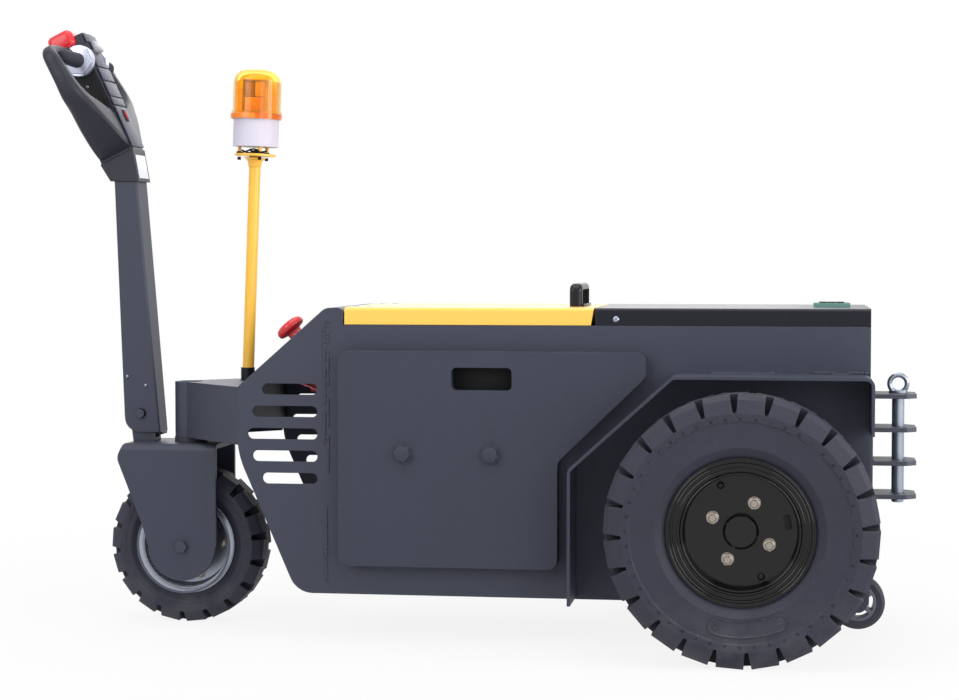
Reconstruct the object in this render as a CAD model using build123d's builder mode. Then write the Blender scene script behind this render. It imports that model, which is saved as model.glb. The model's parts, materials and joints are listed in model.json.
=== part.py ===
# Electric tow tractor, led on foot by its tiller, with three wheels.
# Millimetres. +X points forward to the tiller, +Y to the left side, +Z up.
# The origin is on the floor, under the middle of the whole machine.
from build123d import *
import os
from math import asin, atan2, cos, degrees, hypot, pi, radians, sin, sqrt, tan

os.makedirs("parts", exist_ok=True)

# Clearances and stock that several pieces share
running_gap = 0.3
moving_gap = 5.0
cut_overrun = 30.0
plate = 6.0

# Body box
body_half_width = 160.0
body_bottom_z = 74.5
deck_z = 510.5
cover_top_z = 538.5

# Nose, drawn as the front edge of the side plates
nose_front_x = 361.0
nose_foot_x = 263.0
nose_foot_radius = 40.0
nose_knee_z = 301.5
nose_knee_radius = 140.0
nose_brow_z = 407.9
nose_brow_radius = 10.0
nose_slant = 41.5
nose_crown_radius = 20.0
nose_top_z = 537.5
nose_back_x = 185.0
nose_back_radius = 9.0
bulkhead_x = 199.0
rear_overhang = 196.0

# Nose slots, the middle one the longest
slot_height = 18.0
slot_rear_x = 228.0
slot_longest = 116.0
slot_pitch = 36.25
slot_middle_z = 333.0
slot_length_shares = (0.79, 0.93, 1.0, 0.93, 0.79)

# Rear wheels and the axle that carries them
rear_axle_x = -456.0
rear_tyre_radius = 207.0
rear_tyre_width = 110.0
rear_wheel_y = 285.0
rear_tread_half = 46.0
rear_bead_half = 42.0
rear_flange_thickness = 5.0
rear_rim_radius = 103.0
rear_flange_radius = 112.0
rear_side_radius = 128.0
rear_band_radius = 166.0
rear_band_rise = 1.5
rear_shoulder_radius = 179.0
rear_crown_chamfer = 7.0
rear_lug_count = 24
rear_groove_width = 9.0
rear_groove_reach = 45.0
rear_lug_phase = 4.4
rim_wall = 4.0
rear_lip_radius = 106.0
rear_ledge_radius = 92.0
rear_ledge_drop = 3.0
rear_well_radius = 84.0
rear_disc_setback = 28.0
rear_disc_thickness = 8.0
rear_hub_radius = 46.0
rear_cap_radius = 27.0
rear_cap_height = 15.0
rear_cap_edge = 4.0

axle_tube_radius = 34.0
axle_shaft_radius = 18.0
axle_case_radius = 92.0
axle_case_width = 96.0
axle_flange_radius = 58.0
axle_flange_thickness = 10.0
motor_radius = 68.0
motor_length = 170.0
motor_sink = 8.0

# Front wheel, steering axis over its axle
front_axle_x = 484.0
front_tyre_radius = 133.0
front_tyre_width = 78.0
front_tread_half = 31.0
front_bead_half = 30.0
front_flange_thickness = 4.0
front_rim_radius = 77.0
front_flange_radius = 83.5
front_side_radius = 96.0
front_band_radius = 105.0
front_band_rise = 1.0
front_shoulder_radius = 115.0
front_crown_chamfer = 5.0
front_lug_count = 18
front_groove_width = 11.0
front_groove_reach = 30.0
front_lug_phase = 3.75
front_disc_thickness = 6.0
front_hub_radius = 26.0
front_axle_radius = 8.0
axle_head_flats = 19.0
axle_head_height = 8.0
axle_collar_radius = 17.0

# Fork, one plate bent down on both sides
fork_half_width = 65.0
fork_plate = 8.0
fork_top_z = 305.5
fork_bend_radius = 12.0
fork_rear_reach = 60.0
fork_front_reach = 101.0
fork_bulge_reach = 112.0
fork_bulge_drop = 24.0
fork_waist_reach = 68.0
fork_waist_z = 168.5
fork_foot_radius = 58.0
fork_corner_radii = [0.0, 6.0, 20.0, 60.0]

# Steering neck and the kingpin in it
neck_tube_radius = 27.0
neck_bottom_z = 313.5
neck_top_z = 407.9
neck_wall = 6.0
neck_opening_rise = 22.0
kingpin_radius = 20.0
kingpin_disc_radius = 28.0
kingpin_sink = 2.0

# Tiller arm on its bracket
tiller_pivot_reach = 81.0
tiller_pivot_z = 353.5
pivot_bolt_radius = 8.0
pivot_head_flats = 24.0
pivot_head_height = 9.0
bracket_half_width = 20.5
bracket_lug = 8.0
bracket_lug_radius = 21.0
bracket_front_taper = 6.0
bracket_base = 6.0
arm_wall = 4.0
arm_edge_radius = 5.0
arm_foot_drop = 32.0
arm_foot_rear_reach = 33.0
arm_foot_front_reach = 29.0
arm_foot_corner_radius = 27.0
arm_foot_half_width = 25.0
arm_slot_height = 56.0
arm_top_z = 747.5
arm_top_rear_x = 568.4
arm_top_front_x = 608.0
arm_top_half_width = 31.0

# Tiller collar and head
collar_half_width = 34.0
collar_rear_x = 564.0
collar_front_x = 613.0
head_base_x = 606.2
head_base_z = 786.9
head_lean = 26.1
head_length = 216.0
head_base_depth = 63.0
head_base_shift = -4.5
head_tip_depth = 54.0
head_tip_shift = -16.0
head_base_width = 70.0
head_tip_width = 60.0
head_corner_radius = 9.0
button_depth = 44.0
button_shift = -8.0
button_width = 50.0
button_height = 18.0
button_edge_radius = 7.0

# Grip loops: outlines seen from the side and from the front, the finger hole, and edge radii.
# Columns: share of the head's length along it, share of the depth or the half span across it.
loop_half_span = 152.0
loop_depth = 61.0
loop_corner_radius = 8.0
loop_edge_radius = 6.0
loop_hole_radius = 10.0
loop_rim_share = 0.85
loop_side_shares = (
    (0.00, 0.42),
    (0.47, 0.06),
    (0.77, 0.02),
    (1.00, -0.04),
    (1.00, -0.36),
    (0.88, -0.49),
    (0.55, -0.46),
    (0.42, -0.56),
    (0.00, -0.56),
)
loop_front_shares = (
    (0.00, 0.00),
    (0.00, 0.25),
    (0.47, 1.00),
    (0.85, 1.00),
    (1.00, 0.60),
    (1.00, 0.00),
)
loop_front_radii = [0.0, 0.0, 24.0, 24.0, 0.0, 0.0]
loop_hole_shares = (
    (0.41, 0.30),
    (0.54, 0.82),
    (0.865, 0.82),
    (0.865, 0.30),
)

throttle_along = 173.0
throttle_across = -23.0
throttle_disc_radius = 27.0
throttle_disc_width = 20.0
throttle_knob_radius = 14.5
throttle_knob_width = 67.0
throttle_knob_tip_radius = 13.0

# Battery cover, rear cover and what is on them
sheet = 3.0
cover_joint_x = -220.0
cover_joint_gap = 2.0
cover_end_slant = 5.0
cover_edge_radius = 6.0
handle_x = -181.5
handle_width = 21.0
handle_height = 38.0
handle_half_span = 66.0
handle_bar = 10.0
handle_bend_radius = 14.0
handle_edge_radius = 8.0
gauge_setback = 87.0
gauge_length = 58.0
gauge_width = 90.0
gauge_height = 6.5

# Battery, one plain block set between its neighbours
battery_height = 270.0
battery_side_gap = 9.0
battery_front_gap = 14.0
battery_motor_gap = 37.0

# Ballast plates
ballast_thickness = 25.0
ballast_front_x = 189.0
ballast_fender_gap = 23.0
ballast_axle_reach = 152.0
ballast_bottom_z = 123.5
ballast_top_z = 469.5
ballast_step_low_z = 294.5
ballast_step_high_z = 429.5
ballast_corner_radius = 16.5
hold_rear_x = -92.0
hold_front_x = 5.0
hold_bottom_z = 407.5
hold_top_z = 443.5
hold_corner_radius = 8.0
hold_plate_margin = 3.0

# Fenders
fender_sheet = 5.0
fender_reach = 102.0
fender_front_reach = 268.0
fender_bottom_z = 79.0
fender_knee_z = 290.5
fender_top_reach = 107.0
fender_top_z = 436.5
fender_overhang = 3.0
fender_rear_z = 347.5
fender_bend_radius = 14.0

# Hitch and its pin
hitch_plate = 7.0
hitch_pitch = 54.0
hitch_plate_count = 4
hitch_top_z = 398.5
hitch_half_width = 45.0
hitch_reach = 78.0
hitch_corner = 16.0
hitch_back = 8.0
hitch_back_margin = 12.0
pin_reach = 50.0
pin_radius = 10.0
pin_hole_radius = 10.8
pin_tip_reach = 9.0
pin_tip_chamfer = 2.0
pin_collar_radius = 15.0
pin_collar_height = 4.0
pin_ring_radius = 14.0
pin_ring_wire = 4.0
pin_ring_sink = 3.0

# Support wheel under the rear
support_setback = 13.0
support_radius = 44.0
support_floor_gap = 12.0
support_width = 32.0
support_edge_chamfer = 5.0
support_hub_radius = 30.0
support_axle_radius = 6.0
support_spoke_count = 5
support_spoke_width = 6.0
support_window_radius = 25.5
support_boss_radius = 12.0
support_cheek = 5.0
support_cheek_gap = 5.0
support_cheek_reach = 46.0
support_bracket_height = 58.0
support_bracket_radius = 15.0

# Beacon on its pole
beacon_x = 396.0
beacon_y = -45.0
beacon_lean = 2.2
socket_radius = 12.0
socket_height = 22.0
pole_radius = 10.0
pole_length = 377.0
pole_sink = 14.0
beacon_plate_radius = 35.0
beacon_plate = 4.0
standoff_radius = 3.0
standoff_height = 12.0
standoff_circle = 28.0
standoff_count = 3
beacon_base_radius = 39.0
beacon_base_height = 48.0
beacon_ring_radius = 43.0
beacon_ring_height = 12.0
beacon_lens_radius = 41.0
beacon_lens_height = 73.5
beacon_lens_wall = 3.0
beacon_dome_radius = 24.0

# Emergency stop on the slanted nose panel
stop_y = 60.0
stop_up_share = 0.57
stop_stem_radius = 11.5
stop_stem_height = 16.0
stop_head_radius = 25.0
stop_head_height = 16.0
stop_dome_radius = 9.0
stop_collar_radius = 20.0
stop_collar_height = 5.0

# Places worked out from the sizes above
body_rear_x = rear_axle_x - rear_overhang
rear_axle_z = rear_tyre_radius
front_axle_z = front_tyre_radius
steer_x = front_axle_x
tiller_pivot_x = steer_x + tiller_pivot_reach
support_x = body_rear_x + support_setback
support_z = support_floor_gap + support_radius
fender_front_x = rear_axle_x + fender_front_reach
fender_rear_x = body_rear_x - fender_overhang
hitch_rear_x = body_rear_x - hitch_reach
pin_x = body_rear_x - pin_reach
inner_half_width = body_half_width - plate
nose_crown_x = nose_front_x - (nose_top_z - nose_brow_z) / tan(radians(nose_slant))
hold_centre = ((hold_rear_x + hold_front_x) / 2, (hold_bottom_z + hold_top_z) / 2)
nose_radii = [
    nose_foot_radius,
    nose_knee_radius,
    nose_brow_radius,
    nose_crown_radius,
    nose_back_radius,
]


def side_plane(side, inner_y, outer_y):
    """The plane square to Y on which a slab between two distances from the middle is drawn."""
    return Plane.XZ.offset(-max(side * inner_y, side * outer_y))


def wheel_plane(side, x, y, z):
    """A half plane through a wheel axis: local X is the radius, local Y points outboard."""
    return Plane(origin=(x, side * y, z), x_dir=(0, 0, 1), z_dir=(-side, 0, 0))


def wheel_axis(x, z):
    """The line along Y that a wheel turns about."""
    return Axis((x, 0, z), (0, 1, 0))


def save(name, piece):
    """Labels a finished piece and writes it."""
    piece.part.label = name
    export_step(piece.part, f"parts/{name}.step")


# Side plates, each one outline with its five slots
def make_side_plate(side):
    with BuildPart() as side_plate:
        with BuildSketch(side_plane(side, inner_half_width, body_half_width)) as outline:
            with BuildLine():
                FilletPolyline(
                    (nose_back_x, deck_z),
                    (body_rear_x, deck_z),
                    (body_rear_x, body_bottom_z),
                    (nose_foot_x, body_bottom_z),
                    (nose_front_x, nose_knee_z),
                    (nose_front_x, nose_brow_z),
                    (nose_crown_x, nose_top_z),
                    (nose_back_x, nose_top_z),
                    (nose_back_x, deck_z),
                    radius=[0, plate, plate, *nose_radii],
                )
            make_face()
            for row, share in enumerate(slot_length_shares):
                length = slot_longest * share
                centre_x = slot_rear_x + length / 2
                centre_z = slot_middle_z + slot_pitch * (len(slot_length_shares) // 2 - row)
                with Locations((centre_x, centre_z)):
                    SlotOverall(length, slot_height, mode=Mode.SUBTRACT)
            with Locations((rear_axle_x, rear_axle_z)):
                Circle(axle_tube_radius, mode=Mode.SUBTRACT)
            with Locations(hold_centre):
                RectangleRounded(
                    hold_front_x - hold_rear_x + 2 * hold_plate_margin,
                    hold_top_z - hold_bottom_z + 2 * hold_plate_margin,
                    hold_corner_radius,
                    mode=Mode.SUBTRACT,
                )
        extrude(amount=plate)
    return side_plate


side_plate_left = make_side_plate(1)
side_plate_right = make_side_plate(-1)

# Floor plate under the battery, open behind it for the drive axle
floor_front_x = nose_foot_x - nose_foot_radius
floor_rear_x = rear_axle_x + axle_case_radius + motor_length
with BuildPart() as floor_plate:
    with BuildSketch(Plane.XY.offset(body_bottom_z)):
        with Locations(((floor_front_x + floor_rear_x) / 2, 0)):
            Rectangle(floor_front_x - floor_rear_x, 2 * inner_half_width)
    extrude(amount=plate)

# Nose panel, one plate bent along the front edge of the side plates, open below the neck
with BuildPart() as nose_panel:
    with BuildSketch(Plane.XZ.offset(-inner_half_width)):
        with BuildLine():
            FilletPolyline(
                (floor_front_x, body_bottom_z),
                (nose_foot_x, body_bottom_z),
                (nose_front_x, nose_knee_z),
                (nose_front_x, nose_brow_z),
                (nose_crown_x, nose_top_z),
                (nose_back_x, nose_top_z),
                (nose_back_x, deck_z),
                radius=nose_radii,
            )
            offset(amount=plate, side=Side.LEFT)
        make_face()
        with Locations((floor_front_x, neck_bottom_z + neck_opening_rise)):
            Rectangle(
                nose_front_x,
                neck_bottom_z,
                align=(Align.MIN, Align.MAX),
                mode=Mode.SUBTRACT,
            )
    extrude(amount=2 * inner_half_width)

# Bulkhead between the nose and the battery
with BuildPart() as bulkhead:
    with BuildSketch(Plane.YZ.offset(bulkhead_x)):
        with Locations((0, (body_bottom_z + plate + nose_top_z - plate) / 2)):
            Rectangle(2 * inner_half_width, nose_top_z - body_bottom_z - 2 * plate)
    extrude(amount=plate)

# Rear plate, notched at its foot for the support wheel
support_notch_half = support_width / 2 + support_cheek_gap + support_cheek + moving_gap
support_notch_z = support_z + support_radius + moving_gap
with BuildPart() as rear_plate:
    with BuildSketch(Plane.YZ.offset(body_rear_x)):
        with Locations((0, (body_bottom_z + deck_z) / 2)):
            Rectangle(2 * inner_half_width, deck_z - body_bottom_z)
        with Locations((0, support_notch_z)):
            Rectangle(
                2 * support_notch_half,
                2 * (support_notch_z - body_bottom_z),
                align=(Align.CENTER, Align.MAX),
                mode=Mode.SUBTRACT,
            )
    extrude(amount=plate)

# Steering neck: a head tube held to the nose by two cheeks under one top plate, open below
neck_slope = (inner_half_width - neck_tube_radius) / (steer_x - nose_front_x)
neck_wall_y = neck_wall * hypot(1, neck_slope)
with BuildPart() as steering_neck:
    with BuildSketch(Plane.XY.offset(neck_bottom_z)):
        with BuildLine():
            Polyline(
                (steer_x, -neck_tube_radius),
                (nose_front_x, -inner_half_width),
                (nose_front_x, inner_half_width),
                (steer_x, neck_tube_radius),
            )
            ThreePointArc(
                (steer_x, neck_tube_radius),
                (steer_x + neck_tube_radius, 0),
                (steer_x, -neck_tube_radius),
            )
        make_face()
    extrude(amount=neck_top_z - neck_bottom_z)
    with BuildSketch(Plane.XY.offset(neck_bottom_z)):
        with BuildLine():
            Polyline(
                (steer_x, neck_wall_y - neck_tube_radius),
                (nose_front_x, neck_wall_y - inner_half_width),
                (nose_front_x, inner_half_width - neck_wall_y),
                (steer_x, neck_tube_radius - neck_wall_y),
                close=True,
            )
        make_face()
        with Locations((steer_x, 0)):
            Circle(neck_tube_radius, mode=Mode.SUBTRACT)
    extrude(amount=neck_top_z - neck_wall - neck_bottom_z, mode=Mode.SUBTRACT)
    with BuildSketch(Plane.XY.offset(neck_bottom_z)):
        with Locations((steer_x, 0)):
            Circle(kingpin_radius + running_gap)
    extrude(amount=neck_top_z - neck_bottom_z, mode=Mode.SUBTRACT)

# Kingpin: the fork's spindle in the head tube, on its bearing disc
with BuildPart() as kingpin:
    with BuildSketch(Plane.XY.offset(fork_top_z)):
        with Locations((steer_x, 0)):
            Circle(kingpin_disc_radius)
    extrude(amount=neck_bottom_z - fork_top_z - running_gap)
    with BuildSketch(Plane.XY.offset(fork_top_z)):
        with Locations((steer_x, 0)):
            Circle(kingpin_radius)
    extrude(amount=neck_top_z - kingpin_sink - fork_top_z)

# Fork: a bent plate, its two sides cut to the shape seen from the side
fork_rear_x = steer_x - fork_rear_reach
with BuildPart() as fork:
    with BuildSketch(Plane.XZ.offset(-fork_half_width)):
        with BuildLine():
            FilletPolyline(
                (fork_rear_x, front_axle_z),
                (fork_rear_x, fork_top_z),
                (steer_x + fork_front_reach, fork_top_z),
                (steer_x + fork_bulge_reach, fork_top_z - fork_bulge_drop),
                (steer_x + fork_waist_reach, fork_waist_z),
                (front_axle_x + fork_foot_radius, front_axle_z),
                radius=fork_corner_radii,
            )
            ThreePointArc(
                (front_axle_x + fork_foot_radius, front_axle_z),
                (front_axle_x, front_axle_z - fork_foot_radius),
                (front_axle_x - fork_foot_radius, front_axle_z),
            )
            Line((front_axle_x - fork_foot_radius, front_axle_z), (fork_rear_x, front_axle_z))
        make_face()
    extrude(amount=2 * fork_half_width)
    fork_inner_half = fork_half_width - fork_plate
    fork_length = fork_rear_reach + fork_bulge_reach
    with BuildSketch(Plane.YZ.offset(fork_rear_x)) as bend:
        with Locations((0, fork_top_z)):
            Rectangle(
                2 * fork_half_width,
                fork_top_z,
                align=(Align.CENTER, Align.MAX),
            )
        fillet(bend.vertices().group_by(Axis.Y)[-1], radius=fork_bend_radius)
        with Locations((0, fork_top_z - fork_plate)):
            Rectangle(
                2 * fork_inner_half,
                fork_top_z,
                align=(Align.CENTER, Align.MAX),
                mode=Mode.SUBTRACT,
            )
    extrude(amount=fork_length, mode=Mode.INTERSECT)
    with BuildSketch(Plane.XZ.offset(-fork_half_width)):
        with Locations((front_axle_x, front_axle_z)):
            Circle(front_axle_radius)
    extrude(amount=2 * fork_half_width, mode=Mode.SUBTRACT)

# Front axle bolt with its two spacer collars inside the fork
front_hub_half = fork_inner_half - moving_gap
with BuildPart() as front_axle:
    with BuildSketch(Plane.XZ.offset(-fork_half_width)):
        with Locations((front_axle_x, front_axle_z)):
            Circle(front_axle_radius)
    extrude(amount=2 * fork_half_width)
    for side in (1, -1):
        with BuildSketch(side_plane(side, fork_half_width, fork_half_width + axle_head_height)):
            with Locations((front_axle_x, front_axle_z)):
                RegularPolygon(axle_head_flats / 2, 6, major_radius=False)
        extrude(amount=axle_head_height)
        with BuildSketch(side_plane(side, front_hub_half + running_gap, fork_inner_half)):
            with Locations((front_axle_x, front_axle_z)):
                Circle(axle_collar_radius)
        extrude(amount=fork_inner_half - front_hub_half - running_gap)


def make_tyre(side, x, y, z, sizes, lugs):
    """A solid tyre: a turned carcass, a middle band, and two staggered rows of lugs."""
    rim, bead_half, flange, wall_radius, band_radius, rise, half = sizes[:7]
    shoulder, tread_half, radius, crown = sizes[7:]
    lug_count, groove_width, groove_reach, phase = lugs
    lug_pitch = 360 / lug_count
    band_half = half - groove_reach
    lug_width = pi * (radius + shoulder) / lug_count - groove_width
    lug_top = sqrt(radius**2 - (lug_width / 2) ** 2)
    with BuildPart() as lug:
        with BuildSketch(Plane.XZ.offset(-lug_width / 2)):
            with BuildLine():
                Polyline(
                    (shoulder - rise, band_half - rise),
                    (lug_top, band_half - rise),
                    (lug_top, tread_half - crown),
                    (lug_top - crown, tread_half),
                    (shoulder, half),
                    (shoulder - rise, half),
                    (shoulder - rise, band_half - rise),
                )
            make_face()
        extrude(amount=lug_width)
    with BuildPart() as tyre:
        with BuildSketch(wheel_plane(side, x, y, z)):
            with BuildLine():
                Polyline(
                    (rim, -bead_half),
                    (rim, bead_half),
                    (flange, bead_half),
                    (wall_radius, half - rise),
                    (band_radius, half - rise),
                    (band_radius + rise, half),
                    (shoulder, half),
                    (shoulder, -half),
                    (band_radius + rise, -half),
                    (band_radius, rise - half),
                    (wall_radius, rise - half),
                    (flange, -bead_half),
                    (rim, -bead_half),
                )
            make_face()
        revolve(axis=wheel_axis(x, z))
        with BuildSketch(Plane.XZ.offset(-side * y - band_half)):
            with Locations((x, z)):
                RegularPolygon(radius, 2 * lug_count)
                Circle(shoulder - rise, mode=Mode.SUBTRACT)
        extrude(amount=2 * band_half)
        for row_side, first_angle in ((1, -phase), (-1, lug_pitch / 2 + phase)):
            row_plane = Plane(origin=(x, side * y, z), x_dir=(1, 0, 0), z_dir=(0, row_side, 0))
            with Locations(row_plane):
                with PolarLocations(0, lug_count, start_angle=first_angle):
                    add(lug.part)
    return tyre


# Rear wheels: tyre and dished rim on each side
rear_tyre_sizes = (
    rear_rim_radius,
    rear_bead_half,
    rear_flange_radius,
    rear_side_radius,
    rear_band_radius,
    rear_band_rise,
    rear_tyre_width / 2,
    rear_shoulder_radius,
    rear_tread_half,
    rear_tyre_radius,
    rear_crown_chamfer,
)
rear_lugs = (rear_lug_count, rear_groove_width, rear_groove_reach, rear_lug_phase)
rear_wheel_at = (rear_axle_x, rear_wheel_y, rear_axle_z)
rear_tyre_left = make_tyre(1, *rear_wheel_at, rear_tyre_sizes, rear_lugs)
rear_tyre_right = make_tyre(-1, *rear_wheel_at, rear_tyre_sizes, rear_lugs)


def make_rear_rim(side):
    flange_out = rear_bead_half + rear_flange_thickness
    ledge_out = flange_out - rear_ledge_drop
    disc_out = flange_out - rear_disc_setback
    disc_in = disc_out - rear_disc_thickness
    hub_in = -flange_out
    cap_out = disc_out + rear_cap_height
    with BuildPart() as rim:
        with BuildSketch(wheel_plane(side, rear_axle_x, rear_wheel_y, rear_axle_z)):
            with BuildLine():
                Polyline(
                    (axle_shaft_radius + running_gap, hub_in),
                    (rear_hub_radius, hub_in),
                    (rear_hub_radius, disc_in),
                    (rear_well_radius + rim_wall, disc_in),
                    (rear_ledge_radius + rim_wall, rear_bead_half - rim_wall),
                    (rear_rim_radius - rim_wall, rear_bead_half - rim_wall),
                    (rear_rim_radius - rim_wall, -flange_out),
                    (rear_flange_radius, -flange_out),
                    (rear_flange_radius, -rear_bead_half),
                    (rear_rim_radius, -rear_bead_half),
                    (rear_rim_radius, rear_bead_half),
                    (rear_flange_radius, rear_bead_half),
                    (rear_flange_radius, flange_out),
                    (rear_lip_radius, flange_out),
                    (rear_lip_radius, ledge_out),
                    (rear_ledge_radius, ledge_out),
                    (rear_well_radius, disc_out),
                    (rear_cap_radius, disc_out),
                    (rear_cap_radius, cap_out - rear_cap_edge),
                    (rear_cap_radius - rear_cap_edge, cap_out),
                    (0, cap_out),
                    (0, disc_out + rim_wall),
                    (axle_shaft_radius + running_gap, disc_out + rim_wall),
                    (axle_shaft_radius + running_gap, hub_in),
                )
            make_face()
        revolve(axis=wheel_axis(rear_axle_x, rear_axle_z))
    return rim


rear_rim_left = make_rear_rim(1)
rear_rim_right = make_rear_rim(-1)

# Drive axle: differential case, two tubes through the side plates, flanges and wheel shafts
rear_hub_inner_y = rear_wheel_y - rear_bead_half - rear_flange_thickness
axle_tube_end_y = rear_hub_inner_y - moving_gap
shaft_end_y = rear_wheel_y + rear_bead_half + rear_flange_thickness - rear_disc_setback
with BuildPart() as drive_axle:
    with BuildSketch(wheel_plane(1, rear_axle_x, 0, rear_axle_z)):
        with BuildLine():
            Polyline(
                (0, -shaft_end_y),
                (axle_shaft_radius, -shaft_end_y),
                (axle_shaft_radius, -axle_tube_end_y),
                (axle_tube_radius, -axle_tube_end_y),
                (axle_tube_radius, -inner_half_width),
                (axle_flange_radius, -inner_half_width),
                (axle_flange_radius, -inner_half_width + axle_flange_thickness),
                (axle_tube_radius, -inner_half_width + axle_flange_thickness),
                (axle_tube_radius, -axle_case_width / 2 - axle_tube_radius),
                (axle_case_radius, -axle_case_width / 2),
                (axle_case_radius, axle_case_width / 2),
                (axle_tube_radius, axle_case_width / 2 + axle_tube_radius),
                (axle_tube_radius, inner_half_width - axle_flange_thickness),
                (axle_flange_radius, inner_half_width - axle_flange_thickness),
                (axle_flange_radius, inner_half_width),
                (axle_tube_radius, inner_half_width),
                (axle_tube_radius, axle_tube_end_y),
                (axle_shaft_radius, axle_tube_end_y),
                (axle_shaft_radius, shaft_end_y),
                (0, shaft_end_y),
                (0, -shaft_end_y),
            )
        make_face()
    revolve(axis=wheel_axis(rear_axle_x, rear_axle_z))

# Drive motor, bolted to the front of the differential case
motor_rear_x = rear_axle_x + axle_case_radius - motor_sink
with BuildPart() as drive_motor:
    with BuildSketch(Plane.YZ.offset(motor_rear_x)):
        with Locations((0, rear_axle_z)):
            Circle(motor_radius)
    extrude(amount=motor_length)
    add(drive_axle.part, mode=Mode.SUBTRACT)

# Front wheel
front_tyre = make_tyre(
    1,
    front_axle_x,
    0,
    front_axle_z,
    (
        front_rim_radius,
        front_bead_half,
        front_flange_radius,
        front_side_radius,
        front_band_radius,
        front_band_rise,
        front_tyre_width / 2,
        front_shoulder_radius,
        front_tread_half,
        front_tyre_radius,
        front_crown_chamfer,
    ),
    (front_lug_count, front_groove_width, front_groove_reach, front_lug_phase),
)
front_flange_out = front_bead_half + front_flange_thickness
with BuildPart() as front_rim:
    with BuildSketch(wheel_plane(1, front_axle_x, 0, front_axle_z)):
        with BuildLine():
            Polyline(
                (front_axle_radius + running_gap, -front_hub_half),
                (front_hub_radius, -front_hub_half),
                (front_hub_radius, -front_disc_thickness / 2),
                (front_rim_radius - rim_wall, -front_disc_thickness / 2),
                (front_rim_radius - rim_wall, -front_flange_out),
                (front_flange_radius, -front_flange_out),
                (front_flange_radius, -front_bead_half),
                (front_rim_radius, -front_bead_half),
                (front_rim_radius, front_bead_half),
                (front_flange_radius, front_bead_half),
                (front_flange_radius, front_flange_out),
                (front_rim_radius - rim_wall, front_flange_out),
                (front_rim_radius - rim_wall, front_disc_thickness / 2),
                (front_hub_radius, front_disc_thickness / 2),
                (front_hub_radius, front_hub_half),
                (front_axle_radius + running_gap, front_hub_half),
                (front_axle_radius + running_gap, -front_hub_half),
            )
        make_face()
    revolve(axis=wheel_axis(front_axle_x, front_axle_z))

# Tiller bracket: two lugs on a base plate, welded on the fork
bracket_drop = tiller_pivot_z - fork_top_z
with BuildPart() as tiller_bracket:
    with BuildSketch(side_plane(1, 0, bracket_half_width)):
        with BuildLine():
            Polyline(
                (tiller_pivot_x - bracket_lug_radius, tiller_pivot_z),
                (tiller_pivot_x - bracket_lug_radius, fork_top_z),
                (tiller_pivot_x + bracket_lug_radius - bracket_front_taper, fork_top_z),
                (tiller_pivot_x + bracket_lug_radius, tiller_pivot_z),
            )
            ThreePointArc(
                (tiller_pivot_x + bracket_lug_radius, tiller_pivot_z),
                (tiller_pivot_x, tiller_pivot_z + bracket_lug_radius),
                (tiller_pivot_x - bracket_lug_radius, tiller_pivot_z),
            )
        make_face()
    extrude(amount=2 * bracket_half_width)
    bracket_gap = bracket_half_width - bracket_lug
    with BuildSketch(Plane.XY.offset(fork_top_z + bracket_base)):
        with Locations((tiller_pivot_x, 0)):
            Rectangle(2 * bracket_lug_radius, 2 * bracket_gap)
    extrude(amount=bracket_drop + bracket_lug_radius, mode=Mode.SUBTRACT)
    with BuildSketch(side_plane(1, 0, bracket_half_width)):
        with Locations((tiller_pivot_x, tiller_pivot_z)):
            Circle(pivot_bolt_radius)
    extrude(amount=2 * bracket_half_width, mode=Mode.SUBTRACT)

# Tiller arm: a tapered box with a rear wall down to its foot, open in front at the pivot
arm_foot_z = tiller_pivot_z - arm_foot_drop
arm_foot_rear_x = tiller_pivot_x - arm_foot_rear_reach
arm_foot_length = arm_foot_rear_reach + arm_foot_front_reach
arm_foot_middle_x = arm_foot_rear_x + arm_foot_length / 2
arm_top_length = arm_top_front_x - arm_top_rear_x
arm_top_middle_x = arm_top_rear_x + arm_top_length / 2
arm_slot_top_z = tiller_pivot_z + arm_slot_height
with BuildPart() as tiller_arm:
    with BuildSketch(Plane.XY.offset(arm_foot_z)):
        with Locations((arm_foot_middle_x, 0)):
            Rectangle(arm_foot_length, 2 * arm_foot_half_width)
    with BuildSketch(Plane.XY.offset(arm_top_z)):
        with Locations((arm_top_middle_x, 0)):
            Rectangle(arm_top_length, 2 * arm_top_half_width)
    loft(ruled=True)
    fillet(tiller_arm.edges().sort_by(Axis.Z)[4:8], radius=arm_edge_radius)
    with BuildSketch(Plane.XY.offset(arm_foot_z)):
        with Locations((arm_foot_middle_x, 0)):
            Rectangle(arm_foot_length - 2 * arm_wall, 2 * (arm_foot_half_width - arm_wall))
    with BuildSketch(Plane.XY.offset(arm_top_z)):
        with Locations((arm_top_middle_x, 0)):
            Rectangle(arm_top_length - 2 * arm_wall, 2 * (arm_top_half_width - arm_wall))
    loft(ruled=True, mode=Mode.SUBTRACT)
    with BuildSketch(Plane.YZ.offset(tiller_pivot_x)):
        with Locations((0, arm_slot_top_z)):
            Rectangle(
                2 * (arm_foot_half_width - arm_wall),
                arm_slot_top_z,
                align=(Align.CENTER, Align.MAX),
            )
    extrude(amount=arm_foot_length, mode=Mode.SUBTRACT)
    corner_x = arm_foot_rear_x + arm_foot_length - arm_foot_corner_radius
    corner_z = arm_foot_z + arm_foot_corner_radius
    with BuildSketch(side_plane(1, 0, arm_top_half_width)):
        with Locations((corner_x, corner_z)):
            Rectangle(
                arm_foot_length,
                arm_foot_length,
                align=(Align.MIN, Align.MAX),
            )
            Circle(arm_foot_corner_radius, mode=Mode.SUBTRACT)
    extrude(amount=2 * arm_top_half_width, mode=Mode.SUBTRACT)
    with BuildSketch(side_plane(1, 0, arm_top_half_width)):
        with Locations((tiller_pivot_x, tiller_pivot_z)):
            Circle(pivot_bolt_radius + running_gap)
    extrude(amount=2 * arm_top_half_width, mode=Mode.SUBTRACT)

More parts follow.
